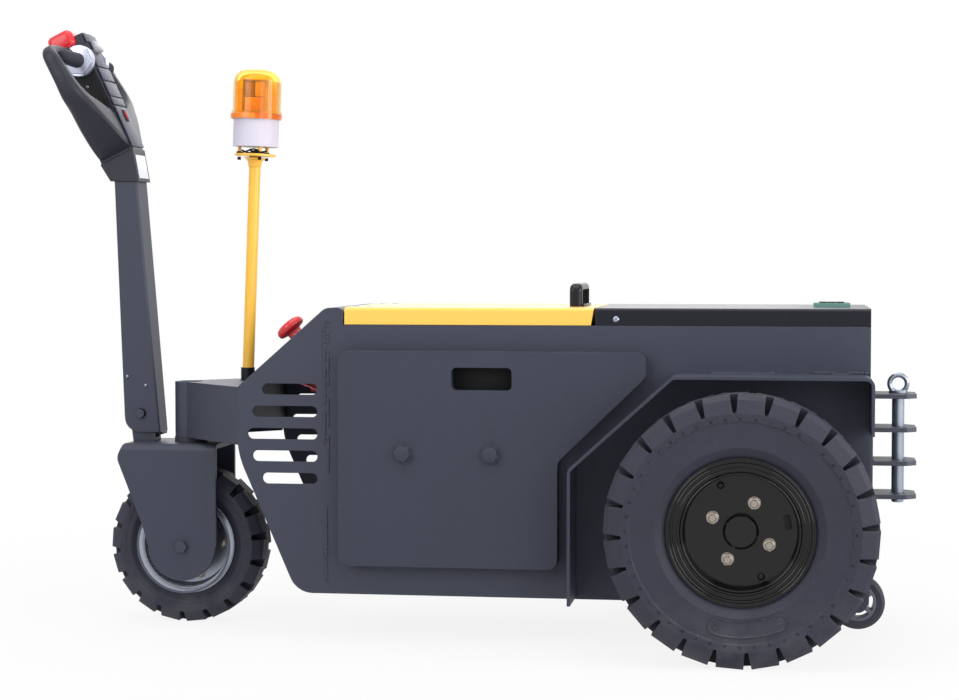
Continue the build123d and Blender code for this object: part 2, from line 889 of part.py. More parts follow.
# Pivot bolt through the arm and the bracket, its heads just off the arm's sides
pivot_head_top_z = tiller_pivot_z + pivot_head_flats / 2
pivot_head_share = (pivot_head_top_z - arm_foot_z) / (arm_top_z - arm_foot_z)
arm_flare = arm_top_half_width - arm_foot_half_width
pivot_half = arm_foot_half_width + arm_flare * pivot_head_share + running_gap
with BuildPart() as tiller_pivot_bolt:
    with BuildSketch(side_plane(1, 0, pivot_half)):
        with Locations((tiller_pivot_x, tiller_pivot_z)):
            Circle(pivot_bolt_radius)
    extrude(amount=2 * pivot_half)
    for side in (1, -1):
        with BuildSketch(side_plane(side, pivot_half, pivot_half + pivot_head_height)):
            with Locations((tiller_pivot_x, tiller_pivot_z)):
                RegularPolygon(pivot_head_flats / 2, 6, major_radius=False)
        extrude(amount=pivot_head_height)

# Tiller head frame: local X runs across from back to front, local Y to the left, Z along the head
head_along = Vector(sin(radians(head_lean)), 0, cos(radians(head_lean)))
head_across = Vector(cos(radians(head_lean)), 0, -sin(radians(head_lean)))
head_origin = Vector(head_base_x, 0, head_base_z)
head_plane = Plane(origin=head_origin, x_dir=head_across, z_dir=head_along)

# Collar between the arm and the head
collar_rear_top = head_origin + head_across * (head_base_shift - head_base_depth / 2)
collar_front_top = head_origin + head_across * (head_base_shift + head_base_depth / 2)
with BuildPart() as tiller_collar:
    with BuildSketch(side_plane(1, 0, collar_half_width)):
        with BuildLine():
            Polyline(
                (collar_rear_x, arm_top_z),
                (collar_front_x, arm_top_z),
                (collar_front_top.X, collar_front_top.Z),
                (collar_rear_top.X, collar_rear_top.Z),
                (collar_rear_x, arm_top_z),
            )
        make_face()
    extrude(amount=2 * collar_half_width)

# Head housing
with BuildPart() as tiller_head:
    with BuildSketch(head_plane):
        with Locations((head_base_shift, 0)):
            RectangleRounded(head_base_depth, head_base_width, head_corner_radius)
    with BuildSketch(head_plane.offset(head_length)):
        with Locations((head_tip_shift, 0)):
            RectangleRounded(head_tip_depth, head_tip_width, head_corner_radius)
    loft(ruled=True)

# Belly button on the tip of the head
with BuildPart() as belly_button:
    with BuildSketch(head_plane.offset(head_length)):
        with Locations((button_shift, 0)):
            RectangleRounded(button_depth, button_width, button_edge_radius)
    extrude(amount=button_height)
    fillet(belly_button.faces().sort_by(Axis.Z)[-1].edges(), radius=button_edge_radius)


# Throttle wings: a knob outside a thin disc on each side of the head
throttle_centre = head_origin + head_along * throttle_along + head_across * throttle_across
throttle_share = throttle_along / head_length
throttle_root_y = (head_base_width + (head_tip_width - head_base_width) * throttle_share) / 2


def make_throttle(side):
    disc_end_y = throttle_root_y + throttle_disc_width
    knob_end_y = disc_end_y + throttle_knob_width
    with BuildPart() as throttle:
        with BuildSketch(wheel_plane(side, throttle_centre.X, 0, throttle_centre.Z)):
            with BuildLine():
                Polyline(
                    (0, throttle_root_y),
                    (throttle_disc_radius, throttle_root_y),
                    (throttle_disc_radius, disc_end_y),
                    (throttle_knob_radius, disc_end_y),
                    (throttle_knob_tip_radius, knob_end_y),
                    (0, knob_end_y),
                    (0, throttle_root_y),
                )
            make_face()
        revolve(axis=wheel_axis(throttle_centre.X, throttle_centre.Z))
        add(tiller_head.part, mode=Mode.SUBTRACT)
    return throttle


throttle_left = make_throttle(1)
throttle_right = make_throttle(-1)


# Grip loops: moulded wings that flare out of the head, each with a finger hole
def make_grip_loop(side, throttle):
    """One wing: its side outline, cut to its front outline, its edges rounded."""
    side_points = [
        (head_length * along, loop_depth * across) for along, across in loop_side_shares
    ]
    front_points = [
        (head_length * along, loop_half_span * out) for along, out in loop_front_shares
    ]
    hole_points = [
        (head_length * along, loop_half_span * out) for along, out in loop_hole_shares
    ]
    front_plane = Plane(origin=head_origin, x_dir=head_along, z_dir=head_across * -side)
    with BuildPart() as loop:
        with BuildSketch(Plane(origin=head_origin, x_dir=head_along, z_dir=(0, 1, 0))) as outline:
            with BuildLine():
                Polyline(*side_points, close=True)
            make_face()
            fillet(outline.vertices(), radius=loop_corner_radius)
        extrude(amount=loop_half_span, both=True)
        with BuildSketch(front_plane):
            with BuildLine():
                FilletPolyline(*front_points, radius=loop_front_radii, close=True)
            make_face()
        extrude(amount=loop_depth, both=True, mode=Mode.INTERSECT)
        with BuildSketch(front_plane) as outline:
            with BuildLine():
                Polyline(*hole_points, close=True)
            make_face()
            fillet(outline.vertices(), radius=loop_hole_radius)
        extrude(amount=loop_depth, both=True, mode=Mode.SUBTRACT)
        rims = loop.edges().filter_by(
            lambda edge: abs(edge.center().Y) > loop_edge_radius
            and abs(edge.tangent_at(1 / 2).dot(head_across)) < loop_rim_share
        )
        fillet(rims, radius=loop_edge_radius)
        add(tiller_head.part, mode=Mode.SUBTRACT)
        add(throttle.part, mode=Mode.SUBTRACT)
    return loop


grip_loop_left = make_grip_loop(1, throttle_left)
grip_loop_right = make_grip_loop(-1, throttle_right)


# Covers: shallow trays turned upside down on the deck
def make_cover(rear_x, front_x, rear_slant, bottom_z):
    with BuildPart() as cover:
        with BuildSketch(Plane.XZ.offset(-body_half_width)):
            with BuildLine():
                Polyline(
                    (rear_x + rear_slant, bottom_z),
                    (front_x, bottom_z),
                    (front_x, cover_top_z),
                    (rear_x, cover_top_z),
                    (rear_x + rear_slant, bottom_z),
                )
            make_face()
        extrude(amount=2 * body_half_width)
        fillet(
            cover.faces().sort_by(Axis.Z)[-1].edges().filter_by(Axis.X), radius=cover_edge_radius
        )
        with BuildSketch(Plane.XZ.offset(-body_half_width + sheet)):
            with BuildLine():
                Polyline(
                    (rear_x + rear_slant + sheet, bottom_z),
                    (front_x - sheet, bottom_z),
                    (front_x - sheet, cover_top_z - sheet),
                    (rear_x + sheet, cover_top_z - sheet),
                    (rear_x + rear_slant + sheet, bottom_z),
                )
            make_face()
        extrude(amount=2 * (body_half_width - sheet), mode=Mode.SUBTRACT)
    return cover


lid_front_x = nose_back_x - cover_joint_gap
battery_cover = make_cover(cover_joint_x, lid_front_x, cover_end_slant, deck_z + running_gap)
rear_cover = make_cover(body_rear_x, cover_joint_x - cover_joint_gap, 0, deck_z)

# Bridge handle across the battery cover
with BuildPart() as cover_handle:
    with BuildSketch(Plane.YZ.offset(handle_x - handle_width / 2)):
        with BuildLine():
            FilletPolyline(
                (-handle_half_span, cover_top_z),
                (-handle_half_span, cover_top_z + handle_height),
                (handle_half_span, cover_top_z + handle_height),
                (handle_half_span, cover_top_z),
                radius=handle_bend_radius,
            )
            offset(amount=handle_bar, side=Side.RIGHT)
        make_face()
    extrude(amount=handle_width)
    fillet(
        cover_handle.edges().filter_by(Axis.Y).group_by(Axis.Z)[-1], radius=handle_edge_radius
    )

# Charge gauge on the rear cover
with BuildPart() as charge_gauge:
    with BuildSketch(Plane.XY.offset(cover_top_z)):
        with Locations((body_rear_x + gauge_setback - gauge_length / 2, 0)):
            Rectangle(gauge_length, gauge_width)
    extrude(amount=gauge_height)

# Battery, one block between the drive motor and the bulkhead
battery_rear_x = motor_rear_x + motor_length + battery_motor_gap
battery_front_x = bulkhead_x - battery_front_gap
with BuildPart() as battery:
    with BuildSketch(Plane.XY.offset(body_bottom_z + plate)):
        with Locations(((battery_rear_x + battery_front_x) / 2, 0)):
            Rectangle(
                battery_front_x - battery_rear_x, 2 * (inner_half_width - battery_side_gap)
            )
    extrude(amount=battery_height)


# Ballast plates, each with a hand hold
ballast_rear_low_x = fender_front_x + ballast_fender_gap
ballast_rear_high_x = rear_axle_x + ballast_axle_reach


def make_ballast_plate(side):
    with BuildPart() as ballast_plate:
        with BuildSketch(
            side_plane(side, body_half_width, body_half_width + ballast_thickness)
        ) as outline:
            with BuildLine():
                Polyline(
                    (ballast_front_x, ballast_bottom_z),
                    (ballast_front_x, ballast_top_z),
                    (ballast_rear_high_x, ballast_top_z),
                    (ballast_rear_high_x, ballast_step_high_z),
                    (ballast_rear_low_x, ballast_step_low_z),
                    (ballast_rear_low_x, ballast_bottom_z),
                    (ballast_front_x, ballast_bottom_z),
                )
            make_face()
            fillet(outline.vertices(), radius=ballast_corner_radius)
            with Locations(hold_centre):
                RectangleRounded(
                    hold_front_x - hold_rear_x,
                    hold_top_z - hold_bottom_z,
                    hold_corner_radius,
                    mode=Mode.SUBTRACT,
                )
        extrude(amount=ballast_thickness)
    return ballast_plate


ballast_plate_left = make_ballast_plate(1)
ballast_plate_right = make_ballast_plate(-1)


# Fenders, one bent strip over each rear wheel
def make_fender(side):
    with BuildPart() as fender:
        with BuildSketch(side_plane(side, body_half_width, body_half_width + fender_reach)):
            with BuildLine():
                FilletPolyline(
                    (fender_front_x, fender_bottom_z),
                    (fender_front_x, fender_knee_z),
                    (rear_axle_x + fender_top_reach, fender_top_z),
                    (fender_rear_x, fender_top_z),
                    (fender_rear_x, fender_rear_z),
                    radius=fender_bend_radius,
                )
                offset(amount=fender_sheet, side=Side.LEFT)
            make_face()
        extrude(amount=fender_reach)
    return fender


fender_left = make_fender(1)
fender_right = make_fender(-1)

# Hitch: stepped jaw plates on a back plate
hitch_back_x = body_rear_x - hitch_back
hitch_lowest_z = hitch_top_z - hitch_pitch * (hitch_plate_count - 1) - hitch_plate
with BuildPart() as hitch:
    with BuildSketch(Plane.YZ.offset(hitch_back_x)):
        with Locations((0, (hitch_top_z + hitch_lowest_z) / 2)):
            Rectangle(
                2 * (hitch_half_width + hitch_back_margin),
                hitch_top_z - hitch_lowest_z + 2 * hitch_back_margin,
            )
    extrude(amount=hitch_back)
    for level in range(hitch_plate_count):
        with BuildSketch(Plane.XY.offset(hitch_top_z - hitch_pitch * level - hitch_plate)) as jaw:
            with Locations(((hitch_rear_x + hitch_back_x) / 2, 0)):
                Rectangle(hitch_back_x - hitch_rear_x, 2 * hitch_half_width)
            chamfer(jaw.vertices().group_by(Axis.X)[0], length=hitch_corner)
            with Locations((pin_x, 0)):
                Circle(pin_hole_radius, mode=Mode.SUBTRACT)
        extrude(amount=hitch_plate)

# Hitch pin with a collar that rests on the top plate, and its pull ring
ring_z = hitch_top_z + pin_collar_height + pin_ring_radius - pin_ring_sink
pin_bottom_z = hitch_lowest_z - pin_tip_reach
with BuildPart() as hitch_pin:
    with BuildSketch(Plane.XY.offset(pin_bottom_z)):
        with Locations((pin_x, 0)):
            Circle(pin_radius)
    extrude(amount=hitch_top_z + pin_collar_height - pin_bottom_z)
    chamfer(hitch_pin.edges().sort_by(Axis.Z)[0], length=pin_tip_chamfer)
    with BuildSketch(Plane.XY.offset(hitch_top_z + running_gap)):
        with Locations((pin_x, 0)):
            Circle(pin_collar_radius)
    extrude(amount=pin_collar_height - running_gap)
    with BuildSketch(Plane.XY.offset(ring_z)):
        with Locations((pin_x + pin_ring_radius, 0)):
            Circle(pin_ring_wire)
    revolve(axis=Axis((pin_x, 0, ring_z), (0, 1, 0)))

# Support wheel and the bracket that hangs it behind the drive axle
with BuildPart() as support_tyre:
    with BuildSketch(wheel_plane(1, support_x, 0, support_z)) as profile:
        with Locations(((support_radius + support_hub_radius) / 2, 0)):
            Rectangle(support_radius - support_hub_radius, support_width)
        chamfer(profile.vertices().group_by(Axis.X)[-1], length=support_edge_chamfer)
    revolve(axis=wheel_axis(support_x, support_z))
support_hub_half = support_width / 2
with BuildPart() as support_hub:
    with BuildSketch(side_plane(1, 0, support_hub_half)):
        with Locations((support_x, support_z)):
            Circle(support_hub_radius)
            Circle(support_window_radius, mode=Mode.SUBTRACT)
            Circle(support_boss_radius)
            with PolarLocations(0, support_spoke_count):
                Rectangle(
                    (support_hub_radius + support_window_radius) / 2,
                    support_spoke_width,
                    align=(Align.MIN, Align.CENTER),
                )
            Circle(support_axle_radius + running_gap, mode=Mode.SUBTRACT)
    extrude(amount=2 * support_hub_half)

support_cheek_inner = support_hub_half + support_cheek_gap
support_cheek_outer = support_cheek_inner + support_cheek
support_top_z = body_bottom_z + support_bracket_height
with BuildPart() as support_bracket:
    for side in (1, -1):
        with BuildSketch(side_plane(side, support_cheek_inner, support_cheek_outer)):
            with BuildLine():
                Polyline(
                    (support_x - support_bracket_radius, support_z),
                    (body_rear_x + plate, support_z + support_bracket_radius),
                    (body_rear_x + plate, support_top_z),
                    (body_rear_x + plate + support_cheek_reach, support_top_z),
                    (support_x + support_bracket_radius, support_z),
                )
                ThreePointArc(
                    (support_x + support_bracket_radius, support_z),
                    (support_x, support_z - support_bracket_radius),
                    (support_x - support_bracket_radius, support_z),
                )
            make_face()
        extrude(amount=support_cheek)
    with BuildSketch(Plane.XY.offset(support_top_z - support_cheek)):
        with Locations((body_rear_x + plate + support_cheek_reach / 2, 0)):
            Rectangle(support_cheek_reach, 2 * support_cheek_outer)
    extrude(amount=support_cheek)
    with BuildSketch(side_plane(1, 0, support_cheek_outer)):
        with Locations((support_x, support_z)):
            Circle(support_axle_radius)
    extrude(amount=2 * support_cheek_outer)

# Beacon, on an axis that leans back a little from the neck
beacon_plane = Plane(
    origin=(beacon_x, beacon_y, neck_top_z),
    x_dir=(cos(radians(beacon_lean)), 0, sin(radians(beacon_lean))),
    z_dir=(-sin(radians(beacon_lean)), 0, cos(radians(beacon_lean))),
)
pole_top = pole_sink / 2 + pole_length
with BuildPart() as beacon_socket:
    with BuildSketch(Plane.XY.offset(neck_top_z)):
        with Locations((beacon_x, beacon_y)):
            Circle(socket_radius)
    extrude(amount=socket_height)
    with BuildSketch(beacon_plane.offset(pole_sink / 2)):
        Circle(pole_radius)
    extrude(amount=socket_height + cut_overrun, mode=Mode.SUBTRACT)
with BuildPart() as beacon_pole:
    with BuildSketch(beacon_plane.offset(pole_sink / 2)):
        Circle(pole_radius)
    extrude(amount=pole_length)
with BuildPart() as beacon_mount:
    with BuildSketch(beacon_plane.offset(pole_top)):
        Circle(beacon_plate_radius)
    extrude(amount=beacon_plate)
    with BuildSketch(beacon_plane.offset(pole_top + beacon_plate)):
        with PolarLocations(standoff_circle, standoff_count):
            Circle(standoff_radius)
    extrude(amount=standoff_height)
base_start = pole_top + beacon_plate + standoff_height
with BuildPart() as beacon_base:
    with BuildSketch(beacon_plane.offset(base_start)):
        Circle(beacon_base_radius)
    extrude(amount=beacon_base_height)
lens_start = base_start + beacon_base_height
lens_plane = beacon_plane.offset(lens_start)
with BuildPart() as beacon_lens:
    with BuildSketch(beacon_plane.offset(lens_start)):
        Circle(beacon_ring_radius)
    extrude(amount=beacon_ring_height)
    with BuildSketch(beacon_plane.offset(lens_start + beacon_ring_height)):
        Circle(beacon_lens_radius)
    extrude(amount=beacon_lens_height)
    fillet(beacon_lens.faces().sort_by(Axis.Z)[-1].edges(), radius=beacon_dome_radius)
    lens_inner_radius = beacon_lens_radius - beacon_lens_wall
    lens_inner_height = beacon_ring_height + beacon_lens_height - beacon_lens_wall
    with BuildSketch(Plane(lens_plane.origin, x_dir=lens_plane.x_dir, z_dir=-lens_plane.y_dir)):
        with BuildLine():
            Polyline(
                (0, lens_inner_height),
                (0, 0),
                (lens_inner_radius, 0),
                (lens_inner_radius, lens_inner_height - beacon_dome_radius + beacon_lens_wall),
            )
            RadiusArc(
                (lens_inner_radius, lens_inner_height - beacon_dome_radius + beacon_lens_wall),
                (lens_inner_radius - beacon_dome_radius + beacon_lens_wall, lens_inner_height),
                beacon_lens_wall - beacon_dome_radius,
            )
            Line(
                (lens_inner_radius - beacon_dome_radius + beacon_lens_wall, lens_inner_height),
                (0, lens_inner_height),
            )
        make_face()
    revolve(axis=Axis(lens_plane.origin, lens_plane.z_dir), mode=Mode.SUBTRACT)

# Emergency stop on the slanted panel
slant_normal = Vector(sin(radians(nose_slant)), 0, cos(radians(nose_slant)))
stop_base_x = nose_front_x + (nose_crown_x - nose_front_x) * stop_up_share
stop_base_z = nose_brow_z + (nose_top_z - nose_brow_z) * stop_up_share
stop_plane = Plane(origin=(stop_base_x, stop_y, stop_base_z), x_dir=(0, 1, 0), z_dir=slant_normal)
with BuildPart() as emergency_stop:
    with BuildSketch(stop_plane):
        Circle(stop_collar_radius)
    extrude(amount=stop_collar_height)
    with BuildSketch(stop_plane):
        Circle(stop_stem_radius)
    extrude(amount=stop_stem_height)
    with BuildSketch(stop_plane.offset(stop_stem_height)):
        Circle(stop_head_radius)
    extrude(amount=stop_head_height)
    stop_top_edge = emergency_stop.faces().sort_by(Axis(stop_plane.origin, slant_normal))[-1]
    fillet(stop_top_edge.edges(), radius=stop_dome_radius)

pieces = {
    "side_plate_left": side_plate_left,
    "side_plate_right": side_plate_right,
    "floor_plate": floor_plate,
    "nose_panel": nose_panel,
    "bulkhead": bulkhead,
    "rear_plate": rear_plate,
    "steering_neck": steering_neck,
    "kingpin": kingpin,
    "fork": fork,
    "front_axle": front_axle,
    "front_tyre": front_tyre,
    "front_rim": front_rim,
    "rear_tyre_left": rear_tyre_left,
    "rear_tyre_right": rear_tyre_right,
    "rear_rim_left": rear_rim_left,
    "rear_rim_right": rear_rim_right,
    "drive_axle": drive_axle,
    "drive_motor": drive_motor,
    "tiller_bracket": tiller_bracket,
    "tiller_pivot_bolt": tiller_pivot_bolt,
    "tiller_arm": tiller_arm,
    "tiller_collar": tiller_collar,
    "tiller_head": tiller_head,
    "belly_button": belly_button,
    "grip_loop_left": grip_loop_left,
    "grip_loop_right": grip_loop_right,
    "throttle_left": throttle_left,
    "throttle_right": throttle_right,
    "battery_cover": battery_cover,
    "cover_handle": cover_handle,
    "rear_cover": rear_cover,
    "charge_gauge": charge_gauge,
    "battery": battery,
    "ballast_plate_left": ballast_plate_left,
    "ballast_plate_right": ballast_plate_right,
    "fender_left": fender_left,
    "fender_right": fender_right,
    "hitch": hitch,
    "hitch_pin": hitch_pin,
    "support_tyre": support_tyre,
    "support_hub": support_hub,
    "support_bracket": support_bracket,
    "beacon_socket": beacon_socket,
    "beacon_pole": beacon_pole,
    "beacon_mount": beacon_mount,
    "beacon_base": beacon_base,
    "beacon_lens": beacon_lens,
    "emergency_stop": emergency_stop,
}
for piece_name, piece in pieces.items():
    save(piece_name, piece)
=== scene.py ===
"""Dresses a pedestrian tow tractor: its finishes, small fittings, studio and camera.

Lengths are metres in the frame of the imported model: +X forward to the tiller, +Y to the left
side, +Z up, and the origin on the floor under the middle of the machine.
"""

from __future__ import annotations

import json
import logging
import math
import random
from dataclasses import dataclass, field
from enum import Enum
from typing import Iterable, Sequence

import bmesh
import bpy
from mathutils import Matrix, Vector

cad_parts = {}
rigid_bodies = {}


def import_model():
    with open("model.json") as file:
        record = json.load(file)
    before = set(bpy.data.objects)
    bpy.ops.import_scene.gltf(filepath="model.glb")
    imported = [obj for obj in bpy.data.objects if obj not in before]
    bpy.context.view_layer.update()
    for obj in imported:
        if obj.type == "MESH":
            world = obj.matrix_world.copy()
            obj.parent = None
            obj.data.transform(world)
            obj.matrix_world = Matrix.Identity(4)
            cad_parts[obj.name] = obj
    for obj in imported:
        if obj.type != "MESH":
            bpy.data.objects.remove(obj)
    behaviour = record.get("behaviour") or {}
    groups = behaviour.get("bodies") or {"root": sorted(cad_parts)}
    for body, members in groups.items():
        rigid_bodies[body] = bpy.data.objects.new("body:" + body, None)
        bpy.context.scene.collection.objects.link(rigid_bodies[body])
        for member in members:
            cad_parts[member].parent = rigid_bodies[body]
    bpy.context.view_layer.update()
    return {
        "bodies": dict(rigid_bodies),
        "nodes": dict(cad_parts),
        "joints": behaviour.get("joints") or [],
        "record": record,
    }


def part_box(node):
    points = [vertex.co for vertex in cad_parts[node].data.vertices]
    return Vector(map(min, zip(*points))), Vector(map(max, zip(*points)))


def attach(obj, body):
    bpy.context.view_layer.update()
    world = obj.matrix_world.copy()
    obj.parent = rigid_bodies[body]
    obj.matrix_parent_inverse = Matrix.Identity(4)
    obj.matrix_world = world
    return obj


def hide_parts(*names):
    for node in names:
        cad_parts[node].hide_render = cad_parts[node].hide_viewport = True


LOG = logging.getLogger("tow_tractor")

Colour = tuple[float, float, float, float]
Pair = tuple[float, float]
Point = tuple[float, float, float]
Row = tuple[float, ...]

# Directions in the frame.
FORWARD: Point = (1.0, 0.0, 0.0)
LEFTWARD: Point = (0.0, 1.0, 0.0)
UP: Point = (0.0, 0.0, 1.0)

# The height of a bolt's washer, and how far its edge is cut back.
WASHER_HEIGHT = 0.002
WASHER_CUT = 0.0004

# How near two points are merged, and the angle, in radians, past which an edge is rounded.
MERGE_DISTANCE = 1e-6
SHARP_ANGLE = 0.5

# A weld bead: its facets, its ripples' length as a share of its radius, and their swell.
BEAD_SIDES = 8
BEAD_PITCH = 1.1
BEAD_SWELLS = (0.88, 1.12)


class Side(Enum):
    """The two sides of the machine, by the sign of their Y."""

    LEFT = 1
    RIGHT = -1

    @property
    def label(self) -> str:
        """The word that piece names end in."""
        return self.name.lower()

    @property
    def out(self) -> Point:
        """The direction that points outboard."""
        return (0.0, float(self.value), 0.0)


class Surface(Enum):
    """How a finish is put on, which sets the pattern of its small relief."""

    POWDER_PAINT = "powder paint"
    SMOOTH_PAINT = "smooth paint"
    MOULDED = "moulded plastic"
    CAST_RUBBER = "cast rubber"
    PLATED = "plated steel"


def paint_colour(red: int, green: int, blue: int) -> Colour:
    """Turns a colour as it shows on a screen into the linear values that a shader takes.

    Args:
        red: Red, from 0 to 255.
        green: Green, from 0 to 255.
        blue: Blue, from 0 to 255.

    Returns:
        The linear colour with an alpha of 1.
    """

    def linear(level: int) -> float:
        """One channel, from screen level to linear light."""
        share = level / 255
        return share / 12.92 if share <= 0.04045 else ((share + 0.055) / 1.055) ** 2.4

    return (linear(red), linear(green), linear(blue), 1.0)


class ShaderGraph:
    """Adds nodes to one shader tree and joins them."""

    def __init__(self, tree: bpy.types.NodeTree) -> None:
        """Takes the tree that the nodes are added to."""
        self.tree = tree

    def add(self, kind: str, inputs: dict | None = None, **settings: object) -> bpy.types.Node:
        """Adds one node.

        Args:
            kind: The node's type.
            inputs: Values or sockets by the name or the place of the input.
            **settings: The node's own properties.

        Returns:
            The new node.
        """
        node = self.tree.nodes.new(kind)
        for name, value in settings.items():
            setattr(node, name, value)
        for name, value in (inputs or {}).items():
            if isinstance(value, bpy.types.NodeSocket):
                self.tree.links.new(value, node.inputs[name])
            else:
                node.inputs[name].default_value = value
        return node

    def math(self, operation: str, first: object, second: object = 0.0) -> bpy.types.NodeSocket:
        """Adds a Math node and gives its output."""
        node = self.add("ShaderNodeMath", {0: first, 1: second}, operation=operation)
        return node.outputs[0]

    def blend(self, share: object, first: object, second: object) -> bpy.types.NodeSocket:
        """Mixes two colours by a share and gives the result."""
        node = self.add("ShaderNodeMix", {0: share, 6: first, 7: second}, data_type="RGBA")
        return node.outputs[2]

    def spread(self, value: object, low: float, high: float) -> bpy.types.NodeSocket:
        """Maps 0 to 1 onto a range and gives the result."""
        inputs = {"Value": value, "To Min": low, "To Max": high}
        return self.add("ShaderNodeMapRange", inputs).outputs[0]

    def above(self, value: object, start: float, full: float) -> bpy.types.NodeSocket:
        """A mask that is 0 at start and 1 at full."""
        inputs = {"Value": value, "From Min": start, "From Max": full}
        return self.add("ShaderNodeMapRange", inputs).outputs[0]

    def noise(self, scale: object, detail: float = 2.0, place: object = None) -> bpy.types.NodeSocket:
        """A noise pattern by its scale, over the piece's own coordinates."""
        inputs = {"Scale": scale, "Detail": detail, "Vector": place or self.place()}
        return self.add("ShaderNodeTexNoise", inputs).outputs[0]

    def place(self) -> bpy.types.NodeSocket:
        """The object coordinates."""
        return self.add("ShaderNodeTexCoord").outputs["Object"]


def bare_material(name: str) -> tuple[bpy.types.Material, ShaderGraph]:
    """A new material without nodes, and the graph that its nodes go in."""
    material = bpy.data.materials.new(name)
    material.use_nodes = True
    material.node_tree.nodes.clear()
    return material, ShaderGraph(material.node_tree)


def scene_object(name: str, data: bpy.types.ID) -> bpy.types.Object:
    """A new object of the scene, around a mesh, a camera or a light."""
    made = bpy.data.objects.new(name, data)
    bpy.context.scene.collection.objects.link(made)
    return made


class EffectKit:
    """Node groups for the effects that several materials share, each built once."""

    def __init__(self) -> None:
        """Builds the groups."""
        self.worn_edges = self._worn_edges()
        self.fine_relief = self._fine_relief()
        self.settled_dust = self._settled_dust()
        self.scuffs = self._scuffs()

    @staticmethod
    def _new(name: str, inputs: dict[str, float], outputs: dict[str, str]) -> tuple:
        """Starts a group with its sockets.

        Args:
            name: The group's name.
            inputs: The name and first value of each number that goes in.
            outputs: The name and socket type of each value that comes out.

        Returns:
            The graph, the group's input node and its output node.
        """
        tree = bpy.data.node_groups.new(name, "ShaderNodeTree")
        for label, value in inputs.items():
            socket = tree.interface.new_socket(label, in_out="INPUT", socket_type="NodeSocketFloat")
            socket.default_value = value
        for label, kind in outputs.items():
            tree.interface.new_socket(label, in_out="OUTPUT", socket_type=kind)
        graph = ShaderGraph(tree)
        return graph, graph.add("NodeGroupInput"), graph.add("NodeGroupOutput")

    def _worn_edges(self) -> bpy.types.NodeTree:
        """Rounded edges in the normal, and a broken mask along them where paint rubs off."""
        graph, given, result = self._new(
            "worn edges",
            {"Reach": 0.001, "Wear": 0.3, "Breakup": 90.0},
            {"Mask": "NodeSocketFloat", "Normal": "NodeSocketVector"},
        )
        rounded = graph.add("ShaderNodeBevel", {"Radius": given.outputs["Reach"]}, samples=6)
        flat = graph.add("ShaderNodeNewGeometry").outputs["Normal"]
        normals = {0: rounded.outputs[0], 1: flat}
        match = graph.add("ShaderNodeVectorMath", normals, operation="DOT_PRODUCT")
        edge = graph.above(match.outputs["Value"], start=0.985, full=0.86)
        breakup = graph.above(graph.noise(given.outputs["Breakup"], detail=5.0), start=0.46, full=0.62)
        worn = graph.math("MULTIPLY", graph.math("MULTIPLY", edge, breakup), given.outputs["Wear"])
        graph.tree.links.new(worn, result.inputs["Mask"])
        graph.tree.links.new(rounded.outputs[0], result.inputs["Normal"])
        return graph.tree

    def _fine_relief(self) -> bpy.types.NodeTree:
        """The skin of paint, plastic or rubber: a fine grain on slow waves, and its shade."""
        graph, given, result = self._new(
            "fine relief",
            {"Scale": 900.0, "Waves": 30.0, "Share of waves": 0.3},
            {"Height": "NodeSocketFloat", "Shade": "NodeSocketFloat"},
        )
        grain = graph.noise(given.outputs["Scale"])
        waves = graph.noise(given.outputs["Waves"], detail=3.0)
        swell = graph.math("MULTIPLY", waves, given.outputs["Share of waves"])
        graph.tree.links.new(graph.math("ADD", grain, swell), result.inputs["Height"])
        slow = graph.math("MULTIPLY", graph.noise(7.0, detail=4.0), 0.65)
        shade = graph.math("ADD", slow, graph.math("MULTIPLY", grain, 0.35))
        graph.tree.links.new(shade, result.inputs["Shade"])
        return graph.tree

    def _settled_dust(self) -> bpy.types.NodeTree:
        """Dust that lies on faces that look up, and road dirt near the floor."""
        graph, given, result = self._new(
            "settled dust",
            {"Amount": 0.2, "Dirt height": 0.12},
            {"Mask": "NodeSocketFloat"},
        )
        normal = graph.add("ShaderNodeNewGeometry").outputs["Normal"]
        facing = graph.add("ShaderNodeSeparateXYZ", {0: normal}).outputs["Z"]
        upward = graph.above(facing, start=0.5, full=1.0)
        height = graph.add("ShaderNodeSeparateXYZ", {0: graph.place()}).outputs["Z"]
        limit = given.outputs["Dirt height"]
        depth = graph.math("DIVIDE", graph.math("SUBTRACT", limit, height), limit)
        dirt = graph.math("MAXIMUM", depth, 0.0)
        patches = graph.above(graph.noise(24.0, detail=6.0), start=0.35, full=0.75)
        total = graph.math("MULTIPLY", graph.math("ADD", upward, dirt), patches)
        dust = graph.math("MULTIPLY", total, given.outputs["Amount"])
        graph.tree.links.new(dust, result.inputs["Mask"])
        return graph.tree

    def _scuffs(self) -> bpy.types.NodeTree:
        """Short scratches along two directions, in patches."""
        graph, given, result = self._new(
            "scuffs",
            {"Scale": 60.0, "Amount": 0.3},
            {"Mask": "NodeSocketFloat"},
        )
        place = graph.place()
        marks = None
        for turn, stretch in (((0.3, 0.2, 0.9), (1.0, 1.0, 14.0)), ((0.9, 0.4, 0.1), (12.0, 1.0, 1.0))):
            inputs = {"Vector": place, "Rotation": turn, "Scale": stretch}
            turned = graph.add("ShaderNodeMapping", inputs).outputs[0]
            streaks = graph.noise(given.outputs["Scale"], detail=3.0, place=turned)
            lines = graph.above(streaks, start=0.66, full=0.74)
            marks = lines if marks is None else graph.math("MAXIMUM", marks, lines)
        where = graph.above(graph.noise(9.0), start=0.45, full=0.65)
        amount = graph.math("MULTIPLY", graph.math("MULTIPLY", marks, where), given.outputs["Amount"])
        graph.tree.links.new(amount, result.inputs["Mask"])
        return graph.tree


